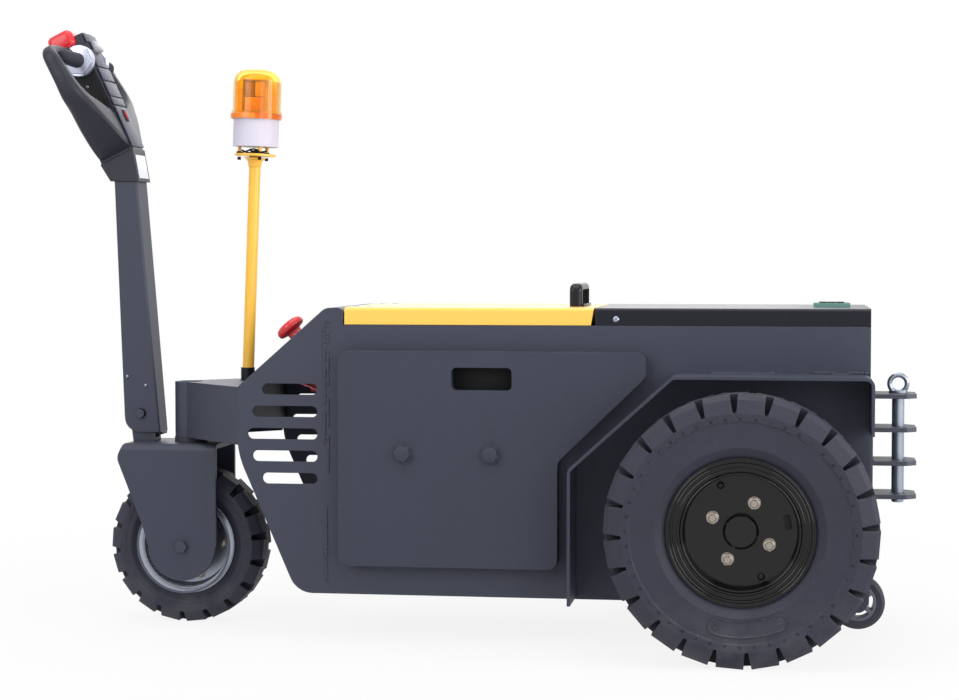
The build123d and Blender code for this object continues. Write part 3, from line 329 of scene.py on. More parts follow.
# How far a finish's roughness wanders, and how dust and scratches change its gloss and colour.
ROUGHNESS_SPREAD = 0.06
DUST_DULLING = 0.3
SCUFF_DULLING = 0.15
SCUFF_RUBBING = 0.4


@dataclass(frozen=True)
class Finish:
    """One opaque finish, by what a maker would say of it.

    Attributes:
        name: The material's name.
        surface: How the finish is put on.
        colour: Its colour.
        roughness: Its mean roughness.
        metallic: 1 for bare or plated metal.
        grain: How many grains there are to a metre.
        relief: The height of its grain, in metres.
        unevenness: How far its colour wanders, as a share.
        edge: How far its edges are rounded, in metres.
        wear: How much of its edges is rubbed.
        worn_colour: What shows where it is rubbed.
        dust: How dusty it is.
        scuffing: How scratched it is.
        coat: The share of clear gloss on top.
        shine: How strongly it mirrors light, 0.5 for a plain plastic.
    """

    name: str
    surface: Surface
    colour: Colour
    roughness: float
    metallic: float = 0.0
    grain: float = 900.0
    relief: float = 0.00003
    unevenness: float = 0.08
    edge: float = 0.0012
    wear: float = 0.25
    worn_colour: Colour = (0.32, 0.32, 0.34, 1.0)
    dust: float = 0.12
    scuffing: float = 0.2
    coat: float = 0.0
    shine: float = 0.3

    def build(self, kit: EffectKit) -> bpy.types.Material:
        """Makes the material.

        Args:
            kit: The shared effects.

        Returns:
            The finished material.
        """
        material, graph = bare_material(self.name)
        relief = self._group(graph, kit.fine_relief, {"Scale": self.grain})
        edges = self._group(graph, kit.worn_edges, {"Reach": self.edge, "Wear": self.wear})
        scuffs = self._group(graph, kit.scuffs, {"Amount": self.scuffing})
        dust = self._group(graph, kit.settled_dust, {"Amount": self.dust})
        low, high = self._shade(1 - self.unevenness), self._shade(1 + self.unevenness)
        colour = graph.blend(relief.outputs["Shade"], low, high)
        scratched = graph.math("MULTIPLY", scuffs.outputs[0], SCUFF_RUBBING)
        rubbed = graph.math("MAXIMUM", edges.outputs["Mask"], scratched)
        colour = graph.blend(rubbed, colour, self.worn_colour)
        colour = graph.blend(dust.outputs[0], colour, DUST_COLOUR)
        smooth, rough = self.roughness - ROUGHNESS_SPREAD, self.roughness + ROUGHNESS_SPREAD
        gloss = graph.spread(relief.outputs["Shade"], smooth, rough)
        gloss = graph.math("ADD", gloss, graph.math("MULTIPLY", dust.outputs[0], DUST_DULLING))
        gloss = graph.math("ADD", gloss, graph.math("MULTIPLY", scuffs.outputs[0], SCUFF_DULLING))
        bump = graph.add(
            "ShaderNodeBump",
            {
                "Height": self._height(graph, relief.outputs["Height"]),
                "Distance": self.relief,
                "Strength": 1.0,
                "Normal": edges.outputs["Normal"],
            },
        )
        shader = graph.add(
            "ShaderNodeBsdfPrincipled",
            {
                "Base Color": colour,
                "Roughness": gloss,
                "Metallic": self.metallic,
                "Coat Weight": self.coat,
                "Coat Roughness": 0.1,
                "Specular IOR Level": self.shine,
                "Normal": bump.outputs[0],
            },
        )
        graph.add("ShaderNodeOutputMaterial", {"Surface": shader.outputs[0]})
        return material

    def _shade(self, share: float) -> Colour:
        """The finish's colour made darker or lighter by a share."""
        return tuple(min(1.0, level * share) for level in self.colour[:3]) + (1.0,)

    def _height(self, graph: ShaderGraph, grain: bpy.types.NodeSocket) -> bpy.types.NodeSocket:
        """The relief's height for this kind of surface.

        Args:
            graph: The material's graph.
            grain: The plain grain.

        Returns:
            The height that the bump takes.
        """
        if self.surface is Surface.POWDER_PAINT:
            pits = graph.above(grain, start=0.42, full=0.85)
            return graph.math("MULTIPLY", pits, 1.4)
        if self.surface is Surface.CAST_RUBBER:
            inputs = {"Scale": 160.0, "Vector": graph.place()}
            cells = graph.add("ShaderNodeTexVoronoi", inputs).outputs["Distance"]
            return graph.math("ADD", grain, graph.math("MULTIPLY", cells, 0.6))
        if self.surface is Surface.PLATED:
            stretched = {"Vector": graph.place(), "Scale": (1.0, 9.0, 1.0)}
            drawn = graph.add("ShaderNodeMapping", stretched).outputs[0]
            brushed = graph.noise(240.0, place=drawn)
            return graph.math("ADD", graph.math("MULTIPLY", grain, 0.5), brushed)
        return grain

    @staticmethod
    def _group(graph: ShaderGraph, tree: bpy.types.NodeTree, values: dict) -> bpy.types.Node:
        """Places a shared effect in a material with its own values."""
        node = graph.add("ShaderNodeGroup", node_tree=tree)
        for name, value in values.items():
            node.inputs[name].default_value = value
        return node


@dataclass(frozen=True)
class ClearFinish:
    """A clear or tinted plastic that light passes through.

    Attributes:
        name: The material's name.
        colour: The tint.
        roughness: How cloudy it is.
        glow: How strongly it lights up by itself.
        grain: How many waves its surface has to a metre.
        relief: The height of those waves, in metres.
        deepening: How dark its deepest tint is, as a share.
        bending: How strongly it bends light.
    """

    name: str
    colour: Colour
    roughness: float = 0.08
    glow: float = 0.0
    grain: float = 120.0
    relief: float = 0.00008
    deepening: float = 0.85
    bending: float = 1.3

    def build(self, kit: EffectKit) -> bpy.types.Material:
        """Makes the material.

        Args:
            kit: The shared effects.

        Returns:
            The finished material.
        """
        material, graph = bare_material(self.name)
        relief = graph.add("ShaderNodeGroup", node_tree=kit.fine_relief)
        relief.inputs["Scale"].default_value = self.grain
        low = tuple(level * self.deepening for level in self.colour[:3]) + (1.0,)
        colour = graph.blend(relief.outputs["Shade"], low, self.colour)
        gloss = graph.spread(relief.outputs["Shade"], self.roughness, self.roughness + ROUGHNESS_SPREAD)
        bump = graph.add(
            "ShaderNodeBump",
            {"Height": relief.outputs["Height"], "Distance": self.relief, "Strength": 0.5},
        )
        shader = graph.add(
            "ShaderNodeBsdfPrincipled",
            {
                "Base Color": colour,
                "Roughness": gloss,
                "Transmission Weight": 1.0,
                "IOR": self.bending,
                "Emission Color": self.colour,
                "Emission Strength": self.glow,
                "Normal": bump.outputs[0],
            },
        )
        graph.add("ShaderNodeOutputMaterial", {"Surface": shader.outputs[0]})
        return material


DUST_COLOUR = paint_colour(140, 138, 138)
STEEL_COLOUR = paint_colour(168, 170, 176)
CHASSIS_PAINT = Finish(
    "chassis powder paint", Surface.POWDER_PAINT, paint_colour(56, 59, 74), 0.46,
    grain=1100.0, relief=0.00016, unevenness=0.1, edge=0.0016, wear=0.2, dust=0.06,
    worn_colour=paint_colour(104, 106, 120), scuffing=0.1,
)
FORK_PAINT = Finish(
    "fork paint", Surface.SMOOTH_PAINT, paint_colour(56, 59, 74), 0.44,
    grain=800.0, relief=0.0001, edge=0.0016, wear=0.22, dust=0.06,
    worn_colour=paint_colour(104, 106, 118), scuffing=0.12,
)
BALLAST_PAINT = Finish(
    "ballast powder paint", Surface.POWDER_PAINT, paint_colour(52, 55, 70), 0.5,
    grain=1000.0, relief=0.0002, unevenness=0.14, edge=0.002, wear=0.26, dust=0.08,
    worn_colour=paint_colour(108, 110, 122), scuffing=0.18,
)
COVER_YELLOW = Finish(
    "cover yellow paint", Surface.SMOOTH_PAINT, paint_colour(250, 197, 88), 0.34,
    grain=500.0, relief=0.00004, unevenness=0.04, edge=0.002, wear=0.14, dust=0.03,
    worn_colour=paint_colour(255, 226, 130), scuffing=0.08, coat=0.3,
)
COVER_BLACK = Finish(
    "rear cover black paint", Surface.SMOOTH_PAINT, paint_colour(20, 21, 31), 0.28,
    grain=600.0, relief=0.00006, unevenness=0.12, edge=0.002, wear=0.2, dust=0.05,
    worn_colour=paint_colour(110, 110, 118), scuffing=0.1, coat=0.1, shine=0.2,
)
POLE_YELLOW = Finish(
    "pole yellow paint", Surface.SMOOTH_PAINT, paint_colour(248, 192, 72), 0.32,
    grain=500.0, relief=0.00004, unevenness=0.05, wear=0.18, dust=0.03,
    worn_colour=paint_colour(255, 216, 124), coat=0.3,
)
GRIP_BLACK = Finish(
    "grip moulding", Surface.MOULDED, paint_colour(38, 39, 50), 0.42,
    grain=1500.0, relief=0.0001, edge=0.0018, wear=0.12, dust=0.03,
    worn_colour=paint_colour(84, 86, 96), scuffing=0.08,
)
SLEEVE_BLACK = Finish(
    "sleeve moulding", Surface.MOULDED, paint_colour(52, 53, 64), 0.4,
    grain=1500.0, relief=0.00006, wear=0.1, dust=0.03,
    worn_colour=paint_colour(96, 98, 112),
)
HEAD_GREY = Finish(
    "head panel moulding", Surface.MOULDED, paint_colour(76, 78, 94), 0.48,
    grain=1500.0, relief=0.00006, unevenness=0.07, wear=0.12, dust=0.03,
    worn_colour=paint_colour(120, 122, 134), scuffing=0.1,
)
TYRE_RUBBER = Finish(
    "tyre rubber", Surface.CAST_RUBBER, paint_colour(44, 45, 58), 0.6,
    grain=420.0, relief=0.00045, unevenness=0.34, edge=0.0024, wear=0.4, dust=0.22,
    worn_colour=paint_colour(104, 106, 122), scuffing=0.5,
)
RIM_BLACK = Finish(
    "rim gloss black", Surface.SMOOTH_PAINT, paint_colour(8, 8, 11), 0.12,
    grain=300.0, relief=0.00005, unevenness=0.15, edge=0.0014, wear=0.08, dust=0.02,
    worn_colour=paint_colour(110, 110, 116), coat=0.3, scuffing=0.04, shine=0.2,
)
RIM_SILVER = Finish(
    "rim silver paint", Surface.SMOOTH_PAINT, paint_colour(164, 168, 180), 0.26,
    metallic=0.75, grain=700.0, relief=0.00006, unevenness=0.1, wear=0.2, dust=0.08,
    worn_colour=paint_colour(110, 110, 116),
)
ZINC = Finish(
    "zinc plating", Surface.PLATED, paint_colour(150, 158, 170), 0.28,
    metallic=0.9, grain=600.0, unevenness=0.14, edge=0.0006, wear=0.2,
    dust=0.05, worn_colour=STEEL_COLOUR, scuffing=0.25,
)
GOLD_ZINC = Finish(
    "yellow zinc plating", Surface.PLATED, paint_colour(158, 150, 140), 0.3,
    metallic=0.85, grain=600.0, unevenness=0.2, edge=0.0006, wear=0.2,
    dust=0.05, worn_colour=STEEL_COLOUR,
)
AXLE_GREY = Finish(
    "axle casting paint", Surface.POWDER_PAINT, paint_colour(52, 53, 62), 0.55,
    grain=300.0, relief=0.0003, unevenness=0.16, edge=0.002, dust=0.2,
    worn_colour=paint_colour(100, 100, 108),
)
HUB_GREY = Finish(
    "support hub paint", Surface.SMOOTH_PAINT, paint_colour(96, 98, 110), 0.4,
    metallic=0.4, grain=500.0, relief=0.00008, unevenness=0.14, wear=0.3,
    worn_colour=STEEL_COLOUR,
)
BEACON_WHITE = Finish(
    "beacon base moulding", Surface.MOULDED, paint_colour(208, 204, 220), 0.42,
    unevenness=0.03, wear=0.05, dust=0.02,
    worn_colour=paint_colour(200, 200, 210), scuffing=0.06,
)
STOP_RED = Finish(
    "stop button moulding", Surface.MOULDED, paint_colour(212, 42, 50), 0.26,
    unevenness=0.05, wear=0.1, dust=0.02,
    worn_colour=paint_colour(236, 110, 112), scuffing=0.08, coat=0.4,
)
PLUG_RED = Finish(
    "battery plug moulding", Surface.MOULDED, paint_colour(150, 34, 40), 0.5,
    relief=0.00004, wear=0.1, dust=0.05, worn_colour=paint_colour(160, 80, 80),
)
WIRE_PINK = Finish(
    "wire sleeve", Surface.MOULDED, paint_colour(214, 134, 138), 0.4,
    relief=0.00002, wear=0.1, dust=0.05, worn_colour=paint_colour(230, 180, 180),
)
THROTTLE_SILVER = Finish(
    "throttle disc plating", Surface.PLATED, paint_colour(198, 202, 222), 0.3,
    metallic=0.7, grain=800.0, relief=0.00002, edge=0.0008, wear=0.1,
    dust=0.02, worn_colour=STEEL_COLOUR, scuffing=0.15,
)
LEVER_GREY = Finish(
    "lever moulding", Surface.MOULDED, paint_colour(158, 160, 168), 0.4,
    unevenness=0.06, wear=0.1, dust=0.03,
    worn_colour=paint_colour(190, 190, 196), scuffing=0.08,
)
RING_ORANGE = Finish(
    "lens ring moulding", Surface.MOULDED, paint_colour(240, 134, 40), 0.2,
    unevenness=0.06, wear=0.0, dust=0.02, coat=0.5,
)
GAUGE_TEAL = Finish(
    "gauge housing moulding", Surface.MOULDED, paint_colour(104, 146, 138), 0.36,
    wear=0.1, dust=0.04, worn_colour=paint_colour(150, 176, 170),
)
BATTERY_GREY = Finish(
    "battery case moulding", Surface.MOULDED, paint_colour(50, 50, 56), 0.6,
    grain=700.0, relief=0.00006, dust=0.1,
)
PLATE_WHITE = Finish(
    "blank plate", Surface.SMOOTH_PAINT, paint_colour(226, 228, 238), 0.38,
    grain=700.0, relief=0.00002, unevenness=0.05, wear=0.1, dust=0.03,
    worn_colour=paint_colour(190, 190, 198), scuffing=0.1,
)
# Black for dark parts, and also painted shade in the boxes behind the hand holds and in the rear rims'
# valve slots.
SHADOW_BLACK = Finish(
    "recess black", Surface.MOULDED, paint_colour(12, 12, 15), 0.7,
    grain=700.0, relief=0.00004, dust=0.04, wear=0.0,
)
# The reflector's halves: a brown one of painted shade and a pale one of painted reflection.
LAMP_PAINTED_SHADE = Finish(
    "lamp reflector brown", Surface.PLATED, paint_colour(140, 92, 36), 0.3,
    metallic=0.3, grain=500.0, unevenness=0.2, dust=0.0, wear=0.0,
)
LAMP_PAINTED_REFLECTION = Finish(
    "lamp reflector pale", Surface.PLATED, paint_colour(252, 232, 222), 0.3,
    metallic=0.2, grain=500.0, unevenness=0.14, dust=0.0, wear=0.0,
)
LAMP_YELLOW = Finish(
    "lamp prism yellow", Surface.PLATED, paint_colour(250, 196, 76), 0.25,
    metallic=0.2, grain=500.0, unevenness=0.2, dust=0.0, wear=0.0,
)
LENS_AMBER = ClearFinish("lens amber", paint_colour(255, 214, 146), 0.03)
# Its glow of 0.1 is painted light: the inner lens lights up by itself with no lamp lit inside.
INNER_AMBER_PAINTED_GLOW = ClearFinish("inner lens amber", paint_colour(255, 218, 84), 0.06, 0.1)
# A lighter copy of the body's paint: painted light for the plates' tops, which catch the light.
HITCH_LIT_PAINT = Finish(
    "hitch plate paint", Surface.POWDER_PAINT, paint_colour(70, 72, 84), 0.42,
    relief=0.00014, unevenness=0.12, edge=0.0018, wear=0.3, dust=0.1,
    worn_colour=paint_colour(120, 122, 132), scuffing=0.16,
)
RIM_SHADE = Finish(
    "rim lip shade", Surface.PLATED, paint_colour(84, 90, 106), 0.3,
    metallic=0.6, grain=600.0, unevenness=0.14, dust=0.06,
)


class MaterialShop:
    """Makes each finish once and puts it on nodes and pieces."""

    def __init__(self) -> None:
        """Starts with the shared effects and no materials."""
        self.kit = EffectKit()
        self.made: dict[str, bpy.types.Material] = {}

    def get(self, finish: Finish | ClearFinish) -> bpy.types.Material:
        """The material of a finish, made when it is first asked for."""
        if finish.name not in self.made:
            self.made[finish.name] = finish.build(self.kit)
        return self.made[finish.name]

    def coat(self, piece: bpy.types.Object, finish: Finish | ClearFinish) -> None:
        """Puts one finish on the whole of a piece."""
        piece.data.materials.clear()
        piece.data.materials.append(self.get(finish))


def standing(origin: Sequence[float], up: Sequence[float], right: Sequence[float]) -> Matrix:
    """The placing of a form whose own Z and X point along two directions.

    Args:
        origin: Where the form's origin goes.
        up: Where its Z points.
        right: Roughly where its X points.

    Returns:
        The placing matrix.
    """
    z_axis = Vector(up).normalized()
    y_axis = z_axis.cross(Vector(right)).normalized()
    x_axis = y_axis.cross(z_axis)
    turn = Matrix((x_axis, y_axis, z_axis)).transposed().to_4x4()
    return Matrix.Translation(Vector(origin)) @ turn


def looking(eye: Point, look: Vector) -> Matrix:
    """The placing of a camera or a lamp that stands at a point and looks along a direction."""
    return Matrix.Translation(eye) @ look.to_track_quat("-Z", "Y").to_matrix().to_4x4()


def smoothed(rows: Sequence[Sequence[float]], steps: int) -> list[tuple[float, ...]]:
    """Rows of numbers with a smooth run between each two of them.

    Args:
        rows: The rows that the run passes through.
        steps: How many steps there are from one row to the next.

    Returns:
        The longer list of rows.
    """
    run = []
    for index in range(len(rows) - 1):
        before, start = rows[max(index - 1, 0)], rows[index]
        end, after = rows[index + 1], rows[min(index + 2, len(rows) - 1)]
        for step in range(steps):
            t = step / steps
            run.append(tuple(
                b + t / 2 * (c - a + t * (2 * a - 5 * b + 4 * c - d + t * (3 * b - a - 3 * c + d)))
                for a, b, c, d in zip(before, start, end, after)
            ))
    run.append(tuple(rows[-1]))
    return run


class Form:
    """A mesh under construction, shaped with mesh operators and then made a piece."""

    def __init__(self) -> None:
        """Starts empty."""
        self.mesh = bmesh.new()

    @classmethod
    def turned(cls, profile: Iterable[tuple[float, float]], steps: int = 32) -> Form:
        """A form turned about its own Z.

        Args:
            profile: Radius and height of each point, from the foot to the top.
            steps: How many facets go round.

        Returns:
            The closed form.
        """
        form = cls()
        points = [form.mesh.verts.new((radius, 0.0, height)) for radius, height in profile]
        edges = [form.mesh.edges.new(pair) for pair in zip(points, points[1:])]
        bmesh.ops.spin(
            form.mesh, geom=points + edges, cent=(0, 0, 0), axis=(0, 0, 1),
            angle=math.tau, steps=steps, use_merge=True,
        )
        bmesh.ops.remove_doubles(form.mesh, verts=form.mesh.verts, dist=MERGE_DISTANCE)
        bmesh.ops.recalc_face_normals(form.mesh, faces=form.mesh.faces)
        return form

    @classmethod
    def ring(
        cls, inner: float, outer: float, height: float, cut: Pair = (0.0, 0.0), steps: int = 32
    ) -> Form:
        """A flat ring or disc about its own Z, its outer top edge cut back.

        Args:
            inner: The radius of its hole, 0 for a disc.
            outer: Its outer radius.
            height: Its height.
            cut: How far the edge is cut back, inwards and downwards.
            steps: How many facets go round.

        Returns:
            The closed form.
        """
        across, down = cut
        profile = [(inner, 0.0), (outer, 0.0), (outer, height - down)]
        if across:
            profile.append((outer - across, height))
        profile.append((inner, height))
        if inner:
            profile.append((inner, 0.0))
        return cls.turned(profile, steps)

    @classmethod
    def block(cls, size: Point, edge: float = 0.0, steps: int = 2) -> Form:
        """A block that stands on its own XY plane.

        Args:
            size: Its length, width and height.
            edge: How far its edges are rounded, 0 for sharp ones.
            steps: How many facets round each edge has.

        Returns:
            The block.
        """
        form = cls()
        bmesh.ops.create_cube(form.mesh, size=1.0)
        bmesh.ops.translate(form.mesh, verts=form.mesh.verts, vec=(0, 0, 0.5))
        bmesh.ops.scale(form.mesh, verts=form.mesh.verts, vec=size)
        return form.rounded(edge, steps) if edge else form

    @classmethod
    def slab(cls, outline: Sequence[tuple[float, float]], depth: float, edge: float = 0.0) -> Form:
        """A flat slab of any outline, raised along its own Z.

        Args:
            outline: The points of its outline.
            depth: Its thickness.
            edge: How far its edges are rounded, 0 for sharp ones.

        Returns:
            The slab.
        """
        form = cls()
        face = form.mesh.faces.new([form.mesh.verts.new((x, y, 0.0)) for x, y in outline])
        raised = bmesh.ops.extrude_face_region(form.mesh, geom=[face])
        top = [part for part in raised["geom"] if isinstance(part, bmesh.types.BMVert)]
        bmesh.ops.translate(form.mesh, verts=top, vec=(0, 0, depth))
        bmesh.ops.recalc_face_normals(form.mesh, faces=form.mesh.faces)
        return form.rounded(edge, 2) if edge else form

    @classmethod
    def swept(cls, rings: Sequence[Sequence[Vector]]) -> Form:
        """A closed skin over a row of rings.

        Args:
            rings: The points of each ring, as many in each.

        Returns:
            The closed form.
        """
        form = cls()
        rows, sides = len(rings) - 1, len(rings[0])
        bmesh.ops.create_grid(form.mesh, x_segments=rows, y_segments=sides, size=1.0)
        for vert in form.mesh.verts:
            row = round((vert.co.x + 1) / 2 * rows)
            turn = round((vert.co.y + 1) / 2 * sides)
            vert.co = rings[row][turn % sides]
        bmesh.ops.remove_doubles(form.mesh, verts=form.mesh.verts, dist=MERGE_DISTANCE)
        bmesh.ops.holes_fill(form.mesh, edges=form.mesh.edges, sides=sides)
        bmesh.ops.recalc_face_normals(form.mesh, faces=form.mesh.faces)
        return form

    @classmethod
    def rod(cls, route: Sequence[Sequence[float]], radius: float, sides: int = 8) -> Form:
        """A thin round rod or wire.

        Args:
            route: The points that it passes through.
            radius: Its radius.
            sides: How many facets go round.

        Returns:
            The rod.
        """
        points = [Vector(point) for point in smoothed(route, 3)]
        circle = [math.tau * index / sides for index in range(sides)]
        rings = []
        for index, point in enumerate(points):
            ahead = points[min(index + 1, len(points) - 1)] - points[max(index - 1, 0)]
            turn = ahead.to_track_quat("Z", "Y").to_matrix()
            spokes = [Vector((radius * math.cos(a), radius * math.sin(a), 0)) for a in circle]
            rings.append([point + turn @ spoke for spoke in spokes])
        return cls.swept(rings)

    def dished(self, rim: float, depth: float) -> Form:
        """Sinks the top face inside a rim with a sloped wall.

        Args:
            rim: The rim's width.
            depth: How deep the face sinks.

        Returns:
            The form itself.
        """
        top = max(self.mesh.faces, key=lambda face: (face.calc_center_median().z, face.calc_area()))
        bmesh.ops.inset_region(self.mesh, faces=[top], thickness=rim, depth=0.0)
        bmesh.ops.inset_region(self.mesh, faces=[top], thickness=rim / 3, depth=0.0)
        bmesh.ops.translate(self.mesh, verts=top.verts, vec=(0, 0, -depth))
        return self

    @classmethod
    def prism(cls, sides: int, radius: float, depth: float, edge: float = 0.0) -> Form:
        """A regular prism by its outer radius, such as a nut."""
        corners = [math.tau * index / sides for index in range(sides)]
        return cls.slab([(radius * math.cos(a), radius * math.sin(a)) for a in corners], depth, edge)

    @classmethod
    def bead(cls, length: float, radius: float, seed: int, ragged: float = 0.06) -> Form:
        """A weld bead along its own X, rippled as a hand-laid weld is.

        Args:
            length: Its length.
            radius: Its mean radius.
            seed: What its ripples are drawn from.
            ragged: How far each ripple may be off, as a share.

        Returns:
            The bead.
        """
        form = cls()
        chance = random.Random(seed)
        steps = max(4, int(length / (radius * BEAD_PITCH)))
        ring = bmesh.ops.create_circle(form.mesh, segments=BEAD_SIDES, radius=radius)["verts"]
        upright = Matrix.Rotation(math.pi / 2, 3, "Y")
        bmesh.ops.rotate(form.mesh, verts=ring, cent=(0, 0, 0), matrix=upright)
        edges = list({edge for vert in ring for edge in vert.link_edges})
        for step in range(steps):
            grown = bmesh.ops.extrude_edge_only(form.mesh, edges=edges)["geom"]
            verts = [part for part in grown if isinstance(part, bmesh.types.BMVert)]
            edges = [part for part in grown if isinstance(part, bmesh.types.BMEdge)]
            bmesh.ops.translate(form.mesh, verts=verts, vec=(length / steps, 0, 0))
            centre = sum((vert.co for vert in verts), Vector()) / len(verts)
            swell = BEAD_SWELLS[step % 2] * chance.uniform(1 - ragged, 1 + ragged)
            for vert in verts:
                vert.co = centre + (vert.co - centre).normalized() * radius * swell
                vert.co.x = centre.x
        bmesh.ops.holes_fill(form.mesh, edges=form.mesh.edges, sides=BEAD_SIDES)
        bmesh.ops.recalc_face_normals(form.mesh, faces=form.mesh.faces)
        return form

    def rounded(self, edge: float, steps: int = 2) -> Form:
        """Rounds every sharp edge and gives the form back."""
        sharp = [part for part in self.mesh.edges if part.calc_face_angle(0.0) > SHARP_ANGLE]
        bmesh.ops.bevel(
            self.mesh, geom=sharp, offset=edge, offset_type="OFFSET", affect="EDGES",
            segments=steps, profile=0.5, material=-1, clamp_overlap=True,
        )
        return self

    def placed(self, matrix: Matrix) -> Form:
        """Moves and turns the form and gives it back."""
        bmesh.ops.transform(self.mesh, matrix=matrix, verts=self.mesh.verts)
        return self

    def joined(self, other: Form) -> Form:
        """Takes another form into this one."""
        taken = bpy.data.meshes.new("taken")
        other.mesh.to_mesh(taken)
        other.mesh.free()
        self.mesh.from_mesh(taken)
        bpy.data.meshes.remove(taken)
        return self

    def piece(self, name: str, body: str, smooth: float = 0.6) -> bpy.types.Object:
        """Makes the form a piece that rides on a body.

        Args:
            name: The piece's name.
            body: The body that it rides on.
            smooth: The angle, in radians, over which an edge stays sharp.

        Returns:
            The piece, at the origin, with its place in its mesh.
        """
        for face in self.mesh.faces:
            face.smooth = True
        for edge in self.mesh.edges:
            edge.smooth = edge.calc_face_angle(0.0) < smooth
        mesh = bpy.data.meshes.new(name)
        self.mesh.to_mesh(mesh)
        self.mesh.free()
        made = scene_object(name, mesh)
        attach(made, body)
        LOG.info("piece %s, %d faces", name, len(mesh.polygons))
        return made


def hex_bolt(flats: float, head: float, washer: float = 0.0) -> Form:
    """A hexagon head on a round washer, standing on its own XY plane.

    Args:
        flats: Width across flats.
        head: Height of the head.
        washer: Radius of the washer, 0 for none.

    Returns:
        The bolt's head.
    """
    base = WASHER_HEIGHT if washer else 0.0
    radius = flats / 2 / math.cos(math.pi / 6)
    top = Form.prism(6, radius, head, edge=flats * 0.03).placed(Matrix.Translation((0, 0, base)))
    if washer:
        disc = Form.ring(0.0, washer, base, cut=(WASHER_CUT, base * 0.2), steps=28)
        top.joined(disc)
    return top


def dome_screw(radius: float, height: float) -> Form:
    """A round-headed screw with a round socket sunk in its head."""
    socket, floor = radius * 0.4, height * 0.4
    side = [(0, 0), (radius, 0), (radius, height * 0.25), (radius * 0.86, height * 0.7)]
    top = [(radius * 0.55, height), (socket, height), (socket, floor), (0, floor)]
    return Form.turned(side + top, steps=20)


def outboard(side: Side, x: float, y: float, z: float, right: Point = FORWARD) -> Matrix:
    """The placing of a form that looks outboard from one side of the machine.

    Args:
        side: The side.
        x: How far forward the form's origin is.
        y: How far it is from the middle plane.
        z: Its height.
        right: Roughly where the form's X points.

    Returns:
        The placing matrix.
    """
    return standing((x, side.value * y, z), side.out, right)


def reach_of(name: str, side: Side) -> tuple[float, float]:
    """How far from the middle plane a node starts and ends, counted outboard on one side."""
    low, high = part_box(name)
    return (low.y, high.y) if side is Side.LEFT else (-high.y, -low.y)


@dataclass
class Assembly:
    """A sub-assembly of the machine, which dresses its nodes and adds its fittings.

    Attributes:
        shop: Where its materials come from.
        nodes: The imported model's nodes by name.
    """

    shop: MaterialShop
    nodes: dict[str, bpy.types.Object]

    def coat_nodes(self, finish: Finish | ClearFinish, *names: str) -> None:
        """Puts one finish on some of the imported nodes."""
        for name in names:
            self.shop.coat(self.nodes[name], finish)

    def fit(
        self, form: Form, name: str, body: str, finish: Finish | ClearFinish, slot: str
    ) -> bpy.types.Object:
        """Makes a form a finished piece.

        Args:
            form: The shaped form.
            name: The piece's name.
            body: The body that it rides on.
            finish: Its finish.
            slot: The record's slot that the finish comes from. It is not used.

        Returns:
            The piece.
        """
        piece = form.piece(name, body)
        self.shop.coat(piece, finish)
        return piece

    def build(self) -> None:
        """Dresses the nodes and adds the fittings."""
        raise NotImplementedError


